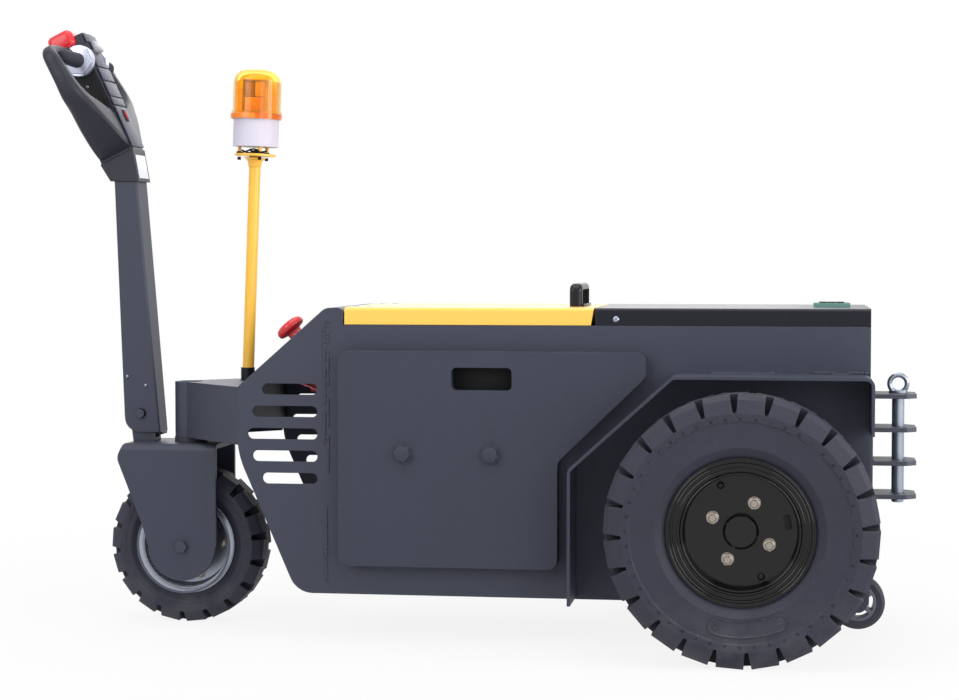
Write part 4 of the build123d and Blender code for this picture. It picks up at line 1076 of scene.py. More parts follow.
@dataclass
class Chassis(Assembly):
    """The welded body with its fenders and ballast plates, and what shows inside it.

    Attributes:
        skin_y: Where the side plates' outer faces are.
        ballast_y: Where the ballast plates' outer faces are.
        bolt_turn: Where a corner of each ballast bolt's head points.
        seam_runs: The beads of the nose's seam: foot, length and how far each is off the line.
        crease_place: Where the crease at the neck's root starts.
        top_runs: The beads over the fender: start, length and how high each lies.
        screw_place: Where the screw at the front of the rear cover sits.
        hold: The rear, front, foot and top of the black box behind a hand hold, which is painted shade
            for the inside of the body.
        pocket_y: The middle of that box's thin wall.
        plug_y: Where the battery's plug is, across the machine.
        wire_route: The points of the wire by the plug: how far before the bulkhead, across, up.
    """

    skin_y: float = 0.160
    ballast_y: float = 0.185
    bolt_flats: float = 0.024
    bolt_head: float = 0.009
    washer: float = 0.0155
    bolt_z: float = 0.306
    bolt_xs: Row = (0.0834, -0.0583)
    bolt_turn: Point = (1, 0.3, 0.2)
    seam_x: float = 0.213
    seam_radius: float = 0.0021
    seam_ragged: float = 0.34
    seam_flattening: Row = (1, 1.25, 0.7, 1)
    seam_runs: tuple[Point, ...] = (
        (0.270, 0.060, -0.0030), (0.318, 0.050, 0.0030), (0.345, 0.046, -0.0028), (0.380, 0.060, 0.0026),
        (0.412, 0.055, -0.0030), (0.450, 0.058, 0.0030), (0.480, 0.034, -0.0022), (0.094, 0.120, 0.0008),
    )
    crease_place: Point = (0.3617, 0.1545, 0.337)
    crease_length: float = 0.070
    crease_radius: float = 0.0014
    top_radius: float = 0.0026
    top_ragged: float = 0.3
    top_runs: tuple[Point, ...] = (
        (0.004, 0.034, 0.0018), (0.030, 0.032, -0.0006), (0.056, 0.036, 0.0014), (0.150, 0.100, 0.0),
    )
    screw_place: Point = (-0.255, 0.160, 0.5205)
    hold: Row = (-0.099, 0.012, 0.400, 0.451)
    pocket_y: float = 0.1515
    pocket_wall: float = 0.004
    plug_size: Point = (0.034, 0.030, 0.024)
    ridge_size: Point = (0.010, 0.024, 0.006)
    plug_y: float = 0.126
    wire_radius: float = 0.0009
    wire_route: tuple[Point, ...] = (
        (0.012, 0.146, 0.396), (0.030, 0.146, 0.405), (0.048, 0.144, 0.412),
        (0.066, 0.140, 0.4165), (0.086, 0.134, 0.418),
    )

    def build(self) -> None:
        """Dresses the body and adds bolts, welds, screws, a black box of painted shade behind each hand
        hold, and the plug.
        """
        self.coat_nodes(
            CHASSIS_PAINT, "side_plate_left", "side_plate_right", "floor_plate", "nose_panel",
            "bulkhead", "rear_plate", "steering_neck", "fender_left", "fender_right",
            "support_bracket",
        )
        self.coat_nodes(COVER_BLACK, "beacon_socket")
        self.coat_nodes(BALLAST_PAINT, "ballast_plate_left", "ballast_plate_right")
        self.coat_nodes(AXLE_GREY, "drive_axle", "drive_motor")
        self.coat_nodes(BATTERY_GREY, "battery")
        for side in Side:
            self.ballast_bolts(side)
            self.welds(side)
            self.cover_screw(side)
            self.hold_pocket(side)
        self.battery_plug()
        self.battery_wire()

    def ballast_bolts(self, side: Side) -> None:
        """The two hexagon bolts that hold a ballast plate."""
        bolts = Form()
        for x in self.bolt_xs:
            bolt = hex_bolt(self.bolt_flats, self.bolt_head, self.washer)
            bolts.joined(bolt.placed(outboard(side, x, self.ballast_y, self.bolt_z, self.bolt_turn)))
        self.fit(bolts, f"ballast_bolts_{side.label}", "chassis", BALLAST_PAINT, "ballast_paint")

    def welds(self, side: Side) -> None:
        """The nose's ground-down seam, the neck's crease and the bead that holds the fender."""
        seams = Form()
        for index, (foot, length, shift) in enumerate(self.seam_runs):
            seed = 3 + side.value + 10 * index
            seam = Form.bead(length, self.seam_radius, seed, self.seam_ragged)
            place = outboard(side, self.seam_x + shift, self.skin_y, foot, UP)
            seams.joined(seam.placed(place @ Matrix.Diagonal(self.seam_flattening)))
        crease = Form.bead(self.crease_length, self.crease_radius, 40 + side.value)
        seams.joined(crease.placed(outboard(side, *self.crease_place, UP)))
        low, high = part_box(f"fender_{side.label}")
        for index, (start, length, lift) in enumerate(self.top_runs):
            seed = 7 + side.value + 5 * index
            top = Form.bead(length, self.top_radius, seed, self.top_ragged)
            origin = (low.x + start, side.value * self.skin_y, high.z + lift)
            seams.joined(top.placed(standing(origin, UP, FORWARD)))
        self.fit(seams, f"body_welds_{side.label}", "chassis", CHASSIS_PAINT, "body_paint")

    def cover_screw(self, side: Side) -> None:
        """The screw at the front of the rear cover."""
        screw = dome_screw(radius=0.0055, height=0.0035).placed(outboard(side, *self.screw_place))
        self.fit(screw, f"cover_screw_{side.label}", "chassis", ZINC, "zinc")

    def hold_pocket(self, side: Side) -> None:
        """A black box behind a ballast plate's hand hold: painted shade for the inside of the body seen
        through it.
        """
        rear, front, foot, top = self.hold
        # A thin black box: painted shade behind the hand hold's opening.
        shade_box = Form.block((front - rear, self.pocket_wall, top - foot), edge=0.001)
        shade_box.placed(Matrix.Translation(((rear + front) / 2, side.value * self.pocket_y, foot)))
        self.fit(shade_box, f"hold_pocket_{side.label}", "chassis", SHADOW_BLACK, "cover_black")

    def battery_plug(self) -> None:
        """The red plug of the battery, seen through the upper slots, with its raised ridge."""
        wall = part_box("bulkhead")[1].x
        plug = Form.block(self.plug_size, edge=0.003)
        plug.placed(Matrix.Translation((wall + 0.022, self.plug_y, 0.4005)))
        ridge = Form.block(self.ridge_size, edge=0.002)
        plug.joined(ridge.placed(Matrix.Translation((wall + 0.046, self.plug_y, 0.4085))))
        self.fit(plug, "battery_plug", "chassis", PLUG_RED, "stop_red")

    def battery_wire(self) -> None:
        """The thin wire that leaves the plug."""
        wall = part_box("bulkhead")[1].x
        route = [(wall + ahead, y, z) for ahead, y, z in self.wire_route]
        wire = Form.rod(route, self.wire_radius)
        self.fit(wire, "battery_wire", "chassis", WIRE_PINK, "stop_red")


@dataclass
class Covers(Assembly):
    """The yellow battery cover with its handle, and the black rear cover with its gauge.

    Attributes:
        dome_profile: Radius and height of each point of a low round screw head.
        dome_xs: The rows of those heads, along the cover.
        dome_ys: The same, across the cover.
        strip_setback: How far behind the handle's rear edge the strip's middle lies.
        window_size: The gauge's window.
        bar_pitch: How far apart the gauge's bars are.
        bar_growth: How much longer each bar is than the one before it.
    """

    dome_profile: tuple[Pair, ...] = (
        (0, 0), (0.0055, 0), (0.0052, 0.0008), (0.0034, 0.0014), (0, 0.0016),
    )
    dome_xs: Row = (0.150, 0.172)
    dome_ys: Row = (-0.11, 0.11)
    strip_depth: float = 0.003
    strip_height: float = 0.004
    strip_setback: float = 0.0015
    screw_inset: float = 0.006
    screw_side_inset: float = 0.018
    window_size: Point = (0.040, 0.066, 0.0012)
    bar_count: int = 5
    bar_width: float = 0.006
    bar_height: float = 0.0004
    bar_pitch: float = 0.011
    bar_growth: float = 0.003

    def build(self) -> None:
        """Dresses both covers and adds their fittings."""
        self.coat_nodes(COVER_YELLOW, "battery_cover")
        self.coat_nodes(COVER_BLACK, "rear_cover", "cover_handle")
        self.coat_nodes(GAUGE_TEAL, "charge_gauge")
        self.cover_domes()
        self.handle_strip()
        self.gauge_face()

    def cover_domes(self) -> None:
        """Two pairs of low round screw heads at the front of the battery cover."""
        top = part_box("battery_cover")[1].z
        domes = Form()
        for y in self.dome_ys:
            for x in self.dome_xs:
                dome = Form.turned(self.dome_profile, steps=20)
                domes.joined(dome.placed(Matrix.Translation((x, y, top))))
        self.fit(domes, "cover_domes", "battery_lid", ZINC, "zinc")

    def handle_strip(self) -> None:
        """The thin strip under the handle's rear edge, and the handle's four screws."""
        low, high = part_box("cover_handle")
        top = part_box("battery_cover")[1].z
        strip = Form.block((self.strip_depth, high.y - low.y - 0.004, self.strip_height), edge=0.0006)
        strip.placed(Matrix.Translation((low.x - self.strip_setback, 0, top)))
        for side in Side:
            y = side.value * (high.y - self.screw_side_inset)
            for x in (low.x + self.screw_inset, high.x - self.screw_inset):
                screw = dome_screw(radius=0.0035, height=0.0025)
                strip.joined(screw.placed(Matrix.Translation((x, y, top))))
        self.fit(strip, "handle_strip", "battery_lid", COVER_BLACK, "cover_black")

    def gauge_face(self) -> None:
        """The gauge's dark window and a row of plain bars, each longer than the last."""
        low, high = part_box("charge_gauge")
        middle_x = (low.x + high.x) / 2
        window = Form.block(self.window_size, edge=0.0005)
        window.placed(Matrix.Translation((middle_x, 0, high.z)))
        self.fit(window, "gauge_window", "chassis", SHADOW_BLACK, "cover_black")
        bars = Form()
        first_y = -self.bar_pitch * (self.bar_count - 1) / 2
        for index in range(self.bar_count):
            length = self.bar_width + self.bar_growth * index
            bar = Form.block((length, self.bar_width, self.bar_height))
            place = (middle_x, first_y + self.bar_pitch * index, high.z + self.window_size[2])
            bars.joined(bar.placed(Matrix.Translation(place)))
        self.fit(bars, "gauge_bars", "chassis", GAUGE_TEAL, "gauge_green")


@dataclass
class RearWheel(Assembly):
    """One rear wheel: tyre, rim, nuts and the marks on its sidewall.

    Attributes:
        side: The side that the wheel is on.
        disc_depth: How deep the rim's disc lies behind its flange.
        nut_turn: The angle of the first nut, in degrees, as on_face counts it.
        screw_turns: The angles of the two rim screws.
        ridges: The ridges round the rim: radius, and depth behind the flange.
        ridge_shape: The section of a ridge: how far off its radius, and how high.
        mark_profile: Radius and height of each point of a small round mark.
        pad_turn: The angle of the bare pad's middle.
        pad_reach: How far the pad goes to each side of it, in degrees.
        pad_stud_turn: How far from the pad's middle its two studs are, in degrees.
    """

    side: Side = Side.LEFT
    disc_depth: float = 0.028
    nut_count: int = 4
    nut_flats: float = 0.0165
    nut_height: float = 0.010
    nut_washer: float = 0.0100
    nut_circle: float = 0.047
    nut_turn: float = 65.0
    stud_radius: float = 0.006
    stud_height: float = 0.0178
    screw_circle: float = 0.075
    screw_turns: Row = (114.0, -66.0)
    slot_size: Point = (0.010, 0.022, 0.0014)
    slot_circle: float = 0.071
    slot_turn: float = 11.5
    ridges: tuple[Pair, ...] = ((0.1085, 0.0002), (0.1035, 0.0002), (0.0965, 0.0002), (0.0885, 0.0032))
    ridge_shape: tuple[Pair, ...] = (
        (-0.0016, 0), (0.0016, 0), (0.0012, 0.0011), (0, 0.0016), (-0.0012, 0.0011), (-0.0016, 0),
    )
    mark_count: int = 48
    mark_circle: float = 0.1712
    mark_profile: tuple[Pair, ...] = ((0.0011, 0.0001), (0.0017, 0.0006), (0.0026, 0.0), (0.0011, 0.0001))
    pad_circle: float = 0.144
    pad_half: float = 0.013
    pad_turn: float = -85.0
    pad_reach: float = 24.0
    pad_stud_turn: float = 19.5
    pad_stud_profile: tuple[Pair, ...] = (
        (0, 0), (0.0042, 0), (0.0042, 0.0014), (0.0030, 0.0018), (0.0024, 0.0008), (0, 0.0008),
    )

    def build(self) -> None:
        """Dresses the wheel and adds its nuts, screws, ridges, the painted shade of its valve slot and
        its sidewall marks.
        """
        label = self.side.label
        self.coat_nodes(TYRE_RUBBER, f"rear_tyre_{label}")
        self.coat_nodes(RIM_BLACK, f"rear_rim_{label}")
        low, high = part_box(f"rear_rim_{label}")
        self.centre = Vector(((low.x + high.x) / 2, 0, (low.z + high.z) / 2))
        self.flange_y = reach_of(f"rear_rim_{label}", self.side)[1]
        self.disc_y = self.flange_y - self.disc_depth
        self.wheel_nuts()
        self.rim_trim()
        self.valve_slot()
        self.sidewall_marks()

    def add(self, form: Form, name: str, finish: Finish, slot: str) -> None:
        """Makes a form a finished piece of this wheel, named after its side."""
        label = self.side.label
        self.fit(form, f"{name}_{label}", f"rear_wheel_{label}", finish, slot)

    def on_face(self, y: float, radius: float, turn: float) -> Matrix:
        """The placing of a fitting on the wheel's outer face.

        Args:
            y: Its distance from the middle of the machine.
            radius: Its distance from the axle.
            turn: Its angle, in degrees, from the rear, up over the top.

        Returns:
            The placing, with X along the radius and Z outboard.
        """
        angle = math.radians(turn)
        outwards = Vector((-math.cos(angle), 0, math.sin(angle)))
        origin = self.centre + outwards * radius + Vector((0, self.side.value * y, 0))
        return standing(origin, self.side.out, outwards)

    def wheel_nuts(self) -> None:
        """The wheel's nuts, on their washers and studs."""
        nuts = Form()
        for index in range(self.nut_count):
            nut = hex_bolt(self.nut_flats, self.nut_height, self.nut_washer)
            nut.joined(Form.ring(0, self.stud_radius, self.stud_height, cut=(0.001, 0.0013), steps=20))
            turn = self.nut_turn + 360 / self.nut_count * index
            nuts.joined(nut.placed(self.on_face(self.disc_y, self.nut_circle, turn)))
        self.add(nuts, "wheel_nuts", GOLD_ZINC, "zinc")

    def rim_trim(self) -> None:
        """Two screws near the well's edge, each in a low ring, and the ridges round the rim."""
        trim = Form()
        for turn in self.screw_turns:
            place = self.on_face(self.disc_y, self.screw_circle, turn)
            trim.joined(dome_screw(radius=0.0055, height=0.004).placed(place))
            trim.joined(Form.ring(0.0058, 0.0074, 0.0010, steps=24).placed(place))
        for radius, depth in self.ridges:
            ridge = Form.turned([(radius + off, height) for off, height in self.ridge_shape], steps=96)
            trim.joined(ridge.placed(self.on_face(self.flange_y - depth, 0.0, 0.0)))
        self.add(trim, "rim_screws", RIM_BLACK, "rim_black")

    def valve_slot(self) -> None:
        """A black block on the disc that stands in for the valve's slot: painted shade of the opening."""
        # The block's black is painted shade, not a part of the rim.
        slot = Form.block(self.slot_size, edge=0.0006)
        slot.placed(self.on_face(self.disc_y, self.slot_circle, self.slot_turn))
        self.add(slot, "valve_slot", SHADOW_BLACK, "rim_black")

    def sidewall_marks(self) -> None:
        """The ring of small round marks on the sidewall, and a bare pad with a stud at each end."""
        wall_y = reach_of(f"rear_tyre_{self.side.label}", self.side)[1]
        marks = Form()
        for index in range(self.mark_count):
            mark = Form.turned(self.mark_profile, steps=8)
            turn = 360 / self.mark_count * index
            marks.joined(mark.placed(self.on_face(wall_y, self.mark_circle, turn)))
        pad = Form.slab(self.pad_outline(), depth=0.0022).dished(rim=0.0016, depth=0.0012)
        marks.joined(pad.placed(self.on_face(wall_y - 0.0016, 0.0, 0.0)))
        for turn in (self.pad_turn - self.pad_stud_turn, self.pad_turn + self.pad_stud_turn):
            stud = Form.turned(self.pad_stud_profile, steps=20)
            marks.joined(stud.placed(self.on_face(wall_y - 0.0008, self.pad_circle, turn)))
        self.add(marks, "sidewall_marks", TYRE_RUBBER, "tyre_rubber")

    def pad_outline(self) -> list[Pair]:
        """The outline of the pad, which is bent along a circle and round at both ends."""
        circle, half = self.pad_circle, self.pad_half
        end = self.pad_reach - math.degrees(half / circle)
        steps = [end * (index / 8 - 1) for index in range(17)]
        swings = [math.pi / 2 - math.pi * index / 8 for index in range(1, 8)]
        caps = [(half * math.sin(a), math.degrees(half * math.cos(a) / circle)) for a in swings]
        route = [(circle + half, turn) for turn in steps]
        route += [(circle + off, end + beyond) for off, beyond in caps]
        route += [(circle - half, turn) for turn in reversed(steps)]
        route += [(circle - off, -end - beyond) for off, beyond in caps]
        points = []
        for radius, turn in route:
            angle = self.side.value * math.radians(self.pad_turn + turn)
            points.append((radius * math.cos(angle), radius * math.sin(angle)))
        return points


@dataclass
class Steering(Assembly):
    """The fork, the front wheel in it, its axle and the tiller's pivot.

    Attributes:
        dish_y: How far each dish's floor is from the wheel's middle plane.
        dish_profile: Radius and height of each point of a pressed dish.
        shade_profile: The same for the dark ring on the rim's lip.
        pivot_profile: The same for one half of the pivot pin.
    """

    bolt_circle: float = 0.057
    bolt_count: int = 5
    dish_y: float = 0.006
    dish_thickness: float = 0.0022
    dish_profile: tuple[Pair, ...] = (
        (0.0265, 0.0), (0.0695, 0.0), (0.0725, 0.022), (0.0718, 0.022), (0.0685, 0.0022),
        (0.0265, 0.0022), (0.0265, 0.0),
    )
    shade_sink: float = 0.0002
    shade_profile: tuple[Pair, ...] = (
        (0.0775, 0), (0.0815, 0), (0.0811, 0.0008), (0.0779, 0.0008), (0.0775, 0),
    )
    pivot_profile: tuple[Pair, ...] = (
        (0, 0), (0.0060, 0), (0.0060, 0.0316), (0.0076, 0.0316), (0.0076, 0.0324),
        (0.0068, 0.0330), (0, 0.0330),
    )

    def build(self) -> None:
        """Dresses the fork and the wheel and adds their bolts, washers and pins."""
        self.coat_nodes(FORK_PAINT, "fork", "tiller_bracket", "front_axle")
        self.coat_nodes(AXLE_GREY, "kingpin")
        self.coat_nodes(TYRE_RUBBER, "front_tyre")
        self.coat_nodes(RIM_SILVER, "front_rim")
        low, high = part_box("front_rim")
        self.centre = (low + high) / 2
        self.rim_dishes()
        self.rim_shades()
        self.rim_bolts()
        self.axle_trim()
        self.pivot_heads()

    def on_wheel(self, side: Side, y: float) -> Matrix:
        """The placing of a form on the front wheel's axis, looking outboard."""
        return outboard(side, self.centre.x, y, self.centre.z)

    def rim_dishes(self) -> None:
        """The pressed dish on each side of the front rim."""
        dishes = Form()
        for side in Side:
            dish = Form.turned(self.dish_profile, steps=56)
            dishes.joined(dish.placed(self.on_wheel(side, self.dish_y)))
        self.fit(dishes, "front_rim_dishes", "front_wheel", ZINC, "rim_silver")

    def rim_shades(self) -> None:
        """The darker ring on the front rim's lip, on each side."""
        lip_y = reach_of("front_rim", Side.LEFT)[1] - self.shade_sink
        shades = Form()
        for side in Side:
            shade = Form.turned(self.shade_profile, steps=72)
            shades.joined(shade.placed(self.on_wheel(side, lip_y)))
        self.fit(shades, "front_rim_shades", "front_wheel", RIM_SHADE, "rim_silver")

    def rim_bolts(self) -> None:
        """The ring of bolts in each dish."""
        bolts = Form()
        for side in Side:
            for index in range(self.bolt_count):
                angle = math.tau * (index + 0.5) / self.bolt_count
                x, y = self.bolt_circle * math.cos(angle), self.bolt_circle * math.sin(angle)
                spot = self.on_wheel(side, self.dish_y) @ Matrix.Translation((x, y, self.dish_thickness))
                bolts.joined(hex_bolt(flats=0.010, head=0.005, washer=0.0075).placed(spot))
        self.fit(bolts, "front_rim_bolts", "front_wheel", GOLD_ZINC, "zinc")

    def axle_trim(self) -> None:
        """A washer under each axle head."""
        trim = Form()
        for side in Side:
            washer = Form.ring(0.0085, 0.0125, 0.0018, cut=(0.0007, 0.0006), steps=36)
            trim.joined(washer.placed(self.on_wheel(side, reach_of("fork", side)[1])))
        self.fit(trim, "axle_washers", "steering", FORK_PAINT, "fork_paint")

    def pivot_heads(self) -> None:
        """The tiller's pivot pin, with a low round head on each side."""
        low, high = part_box("tiller_pivot_bolt")
        middle = (low + high) / 2
        pin = Form()
        for side in Side:
            half = Form.turned(self.pivot_profile, steps=40)
            pin.joined(half.placed(outboard(side, middle.x, 0, middle.z)))
        heads = self.fit(pin, "pivot_pin", "steering", FORK_PAINT, "fork_paint")
        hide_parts("tiller_pivot_bolt")


@dataclass
class Tiller(Assembly):
    """The arm, its moulded head, the switches and the throttle wings.

    Attributes:
        base: The head's foot, from which its places count.
        lean: How far the head leans forward, in degrees.
        length: The head's length.
        throttle_along: Where the throttles' axis is, along the head.
        throttle_across: The same, across the head.
        rib_shape: One ring of a sleeve: how far under its crest, and where in its pitch.
        loop_square: How square a wing's section is, 2 for a round one.
        root_square: The same at the wing's root.
        root_reach: How far along the head the root's squareness fades out.
        loop_rows: The wing's sections: the outer and the inner point, each as distances along
            the head and out from its middle, then the section's front and rear, across the head.
        panel_marks: Where each plate of the rear panel starts and ends, along the head.
        seam_runs: The seams on the head's sides: start, end and a small shift across.
        side_screws: The screws on the head's sides: along, across and radius.
        foot_screws: The screws on the arm's foot: forward and up.
    """

    base: Vector = field(default_factory=lambda: Vector((0.6062, 0.0, 0.7869)))
    lean: float = 26.1
    length: float = 0.216
    throttle_along: float = 0.173
    throttle_across: float = -0.019
    rib_count: int = 14
    rib_crest: float = 0.0130
    rib_taper: float = 0.0012
    rib_shape: tuple[Pair, ...] = (
        (0.0036, 0.14), (0.0004, 0.26), (0.0, 0.46), (0.0004, 0.66), (0.0036, 0.80),
    )
    disc_width: float = 0.018
    disc_radius: float = 0.0266
    facet_radius: float = 0.0256
    facet_height: float = 0.0066
    cap_size: Point = (0.046, 0.082, 0.032)
    cap_along: float = 0.2000
    cap_across: float = -0.0045
    loop_sides: int = 28
    loop_square: float = 3.0
    root_square: float = 11.0
    root_reach: float = 0.11
    loop_rows: tuple[Row, ...] = (
        (0.000, 0.024, 0.074, 0.024, 0.026, -0.036), (0.012, 0.050, 0.080, 0.050, 0.024, -0.035),
        (0.044, 0.088, 0.092, 0.080, 0.018, -0.033), (0.076, 0.122, 0.106, 0.106, 0.011, -0.030),
        (0.100, 0.146, 0.124, 0.122, 0.008, -0.027), (0.128, 0.152, 0.144, 0.125, 0.006, -0.024),
        (0.156, 0.152, 0.160, 0.125, 0.006, -0.021), (0.178, 0.151, 0.172, 0.125, 0.006, -0.019),
        (0.190, 0.143, 0.174, 0.121, 0.006, -0.016), (0.198, 0.126, 0.177, 0.110, 0.006, -0.015),
        (0.200, 0.102, 0.179, 0.092, 0.004, -0.016), (0.199, 0.060, 0.180, 0.060, 0.002, -0.018),
        (0.198, 0.022, 0.180, 0.022, 0.001, -0.020),
    )
    panel_marks: Row = (
        0.004, 0.079, 0.0815, 0.096, 0.0975, 0.1245, 0.127, 0.150, 0.1525, 0.184, 0.198, 0.213,
    )
    horn_along: float = 0.062
    lever_along: float = 0.1905
    seam_runs: tuple[Point, ...] = ((0.002, 0.100, 0.0), (0.102, 0.150, -0.001))
    side_panel_size: Point = (0.092, 0.046, 0.0016)
    side_screws: tuple[Point, ...] = ((0.128, -0.004, 0.0017), (0.1285, -0.0115, 0.0026))
    plate_size: Point = (0.040, 0.052, 0.0012)
    plate_along: float = 0.0255
    foot_screws: tuple[Pair, ...] = ((0.588, 0.4167), (0.5562, 0.4015))
    foot_screw_radius: float = 0.0030
    stop_size: Point = (0.008, 0.034, 0.0055)

    def build(self) -> None:
        """Dresses the tiller and adds its fittings."""
        self.coat_nodes(FORK_PAINT, "tiller_arm")
        self.coat_nodes(GRIP_BLACK, "tiller_collar", "tiller_head")
        angle = math.radians(self.lean)
        self.along = Vector((math.sin(angle), 0, math.cos(angle)))
        self.across = Vector((math.cos(angle), 0, -math.sin(angle)))
        for side in Side:
            self.throttle_disc(side)
            self.throttle_sleeve(side)
            self.grip_loop(side)
        self.belly_cap()
        self.rear_panel()
        self.horn()
        self.lever()
        self.side_panels()
        self.collar_plate()
        self.foot_fittings()

    def at(self, along: float, across: float, y: float = 0.0) -> Vector:
        """A point of the head, by its distance along and across it."""
        return self.base + self.along * along + self.across * across + Vector((0, y, 0))

    def half_width(self, along: float) -> float:
        """Half the head's width at a place along it."""
        return 0.035 - 0.005 * along / self.length

    def rear_face(self, along: float) -> float:
        """How far across the head its rear face lies."""
        return -0.036 - 0.007 * along / self.length

    def on_rear(self, along: float, sink: float = 0.0) -> Matrix:
        """The placing of a form on the head's rear face, or sunk a little into it."""
        inwards = (self.across + self.along * 0.032).normalized()
        return standing(self.at(along, self.rear_face(along) + sink), -inwards, self.along)

    def on_side(self, side: Side, along: float, across: float, y: float) -> Matrix:
        """The placing of a form on one side of the head, looking outboard."""
        return standing(self.at(along, across, side.value * y), side.out, self.along)

    def grip_loop(self, side: Side) -> None:
        """One wing: a thick rounded band that leaves the head low down and comes back at its tip."""
        rings = [self.loop_ring(side, row) for row in smoothed(self.loop_rows, 4)]
        loop = self.fit(
            Form.swept(rings), f"grip_wing_{side.label}", "tiller", GRIP_BLACK, "grip_black"
        )
        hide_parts(f"grip_loop_{side.label}")

    def loop_ring(self, side: Side, row: Row) -> list[Vector]:
        """The points round one section of a wing.

        Args:
            side: The wing's side.
            row: The section, as a row of loop_rows.

        Returns:
            Its points, in order.
        """
        outer_along, outer_out, inner_along, inner_out, front, rear = row
        square = max(self.loop_square, self.root_square * (1 - outer_along / self.root_reach))
        outer = self.at(outer_along, 0, side.value * outer_out)
        inner = self.at(inner_along, 0, side.value * inner_out)
        middle = (outer + inner) / 2 + self.across * (front + rear) / 2
        wide, deep = (inner - outer) / 2, self.across * (front - rear) / 2
        ring = []
        for index in range(self.loop_sides):
            turn = math.tau * (index + 0.5) / self.loop_sides
            reach, lift = math.cos(turn), math.sin(turn)
            swell = (abs(reach) ** square + abs(lift) ** square) ** (-1 / square)
            ring.append(middle + wide * reach * swell + deep * lift * swell)
        return ring

    def belly_cap(self) -> None:
        """The large red button over the front of the head's tip."""
        cap = Form.block(self.cap_size, edge=0.0100, steps=4)
        cap.placed(standing(self.at(self.cap_along, self.cap_across), self.along, self.across))
        red = self.fit(cap, "belly_cap", "tiller", STOP_RED, "stop_red")
        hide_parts("belly_button")

    def throttle_place(self, side: Side) -> Matrix:
        """The placing of a form on a throttle's axis, at its inner end, looking outboard."""
        inner = reach_of(f"throttle_{side.label}", side)[0]
        return self.on_side(side, self.throttle_along, self.throttle_across, inner)

    def throttle_disc(self, side: Side) -> None:
        """The throttle's flat bright disc, with six facets on its face."""
        face = self.disc_width - self.facet_height
        disc = Form.turned(
            [(0, 0), (self.disc_radius - 0.0016, 0), (self.disc_radius, 0.002),
             (self.disc_radius, face - 0.0014), (self.disc_radius - 0.0008, face), (0, face)],
            steps=64,
        )
        facets = Form.prism(6, self.facet_radius, self.facet_height, edge=0.0022)
        disc.joined(facets.placed(Matrix.Translation((0, 0, face - 0.0002))))
        disc.placed(self.throttle_place(side))
        name = f"throttle_disc_{side.label}"
        bright = self.fit(disc, name, "tiller", THROTTLE_SILVER, "throttle_silver")
        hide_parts(f"throttle_{side.label}")

    def throttle_sleeve(self, side: Side) -> None:
        """The throttle's long black sleeve with rings round it."""
        inner, tip = reach_of(f"throttle_{side.label}", side)
        reach = tip - inner - self.disc_width
        pitch = reach / self.rib_count
        profile = [(0.0, 0.0), (0.0102, 0.0)]
        for index in range(self.rib_count):
            crest = self.rib_crest - self.rib_taper * index / self.rib_count
            profile += [(crest - under, pitch * (index + share)) for under, share in self.rib_shape]
        profile += [(0.0090, reach - 0.0002), (0.0, reach)]
        sleeve = Form.turned(profile, steps=40)
        seat = Matrix.Translation((0, 0, self.disc_width - 0.0014))
        sleeve.placed(self.throttle_place(side) @ seat)
        self.fit(sleeve, f"throttle_sleeve_{side.label}", "tiller", SLEEVE_BLACK, "grip_black")

    def rear_panel(self) -> None:
        """The lighter panel on the head's rear face, as plates with seams between them."""
        panel = Form()
        for start, end in zip(self.panel_marks[0::2], self.panel_marks[1::2]):
            size = (end - start - 0.0006, 2 * self.half_width(end) - 0.003, 0.0026)
            panel.joined(Form.block(size, edge=0.0009).placed(self.on_rear((start + end) / 2, 0.0004)))
        self.fit(panel, "head_panel", "tiller", HEAD_GREY, "grip_black")

    def horn(self) -> None:
        """The horn's red rocker in its dark frame."""
        place = self.on_rear(self.horn_along)
        frame = Form.block((0.022, 0.015, 0.0036), edge=0.0012)
        self.fit(frame.placed(place), "horn_frame", "tiller", SHADOW_BLACK, "cover_black")
        rocker = Form.block((0.015, 0.009, 0.0060), edge=0.0020, steps=3)
        self.fit(rocker.placed(place), "horn_rocker", "tiller", PLUG_RED, "stop_red")

    def lever(self) -> None:
        """The pale lever near the head's tip, with its wider thumb piece."""
        lever = Form.block((0.020, 0.024, 0.008), edge=0.003, steps=3)
        thumb = Form.block((0.010, 0.026, 0.012), edge=0.004, steps=3)
        lever.joined(thumb.placed(Matrix.Translation((-0.007, 0, 0))))
        lever.placed(self.on_rear(self.lever_along))
        self.fit(lever, "head_lever", "tiller", LEVER_GREY, "throttle_silver")

    def side_panels(self) -> None:
        """The seam and the dark panel on each side of the head, with two small screws."""
        seams = Form()
        panels = Form()
        screws = Form()
        for side in Side:
            for start, end, shift in self.seam_runs:
                middle = (start + end) / 2
                across = self.rear_face(middle) + 0.0075 + shift
                seam = Form.block((end - start, 0.0022, 0.0016), edge=0.0005)
                seam.placed(self.on_side(side, middle, across, self.half_width(middle) - 0.0004))
                seams.joined(seam)
            half = self.half_width(0.118)
            panel = Form.block(self.side_panel_size, edge=0.0006)
            panels.joined(panel.placed(self.on_side(side, 0.115, -0.0125, half - 0.0004)))
            for along, across, radius in self.side_screws:
                screw = dome_screw(radius, height=0.0026)
                screws.joined(screw.placed(self.on_side(side, along, across, half)))
        self.fit(seams, "head_seams", "tiller", SHADOW_BLACK, "cover_black")
        self.fit(panels, "head_side_panels", "tiller", SHADOW_BLACK, "cover_black")
        self.fit(screws, "head_screws", "tiller", ZINC, "zinc")

    def collar_plate(self) -> None:
        """The blank white plate on the collar's rear face."""
        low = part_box("tiller_collar")[0]
        foot = Vector((low.x, 0, low.z))
        slope = (self.at(0, self.rear_face(0)) - foot).normalized()
        out = Vector((-slope.z, 0, slope.x))
        plate = Form.block(self.plate_size, edge=0.0004)
        plate.placed(standing(foot + slope * self.plate_along, out, slope))
        self.fit(plate, "collar_plate", "tiller", PLATE_WHITE, "beacon_white")

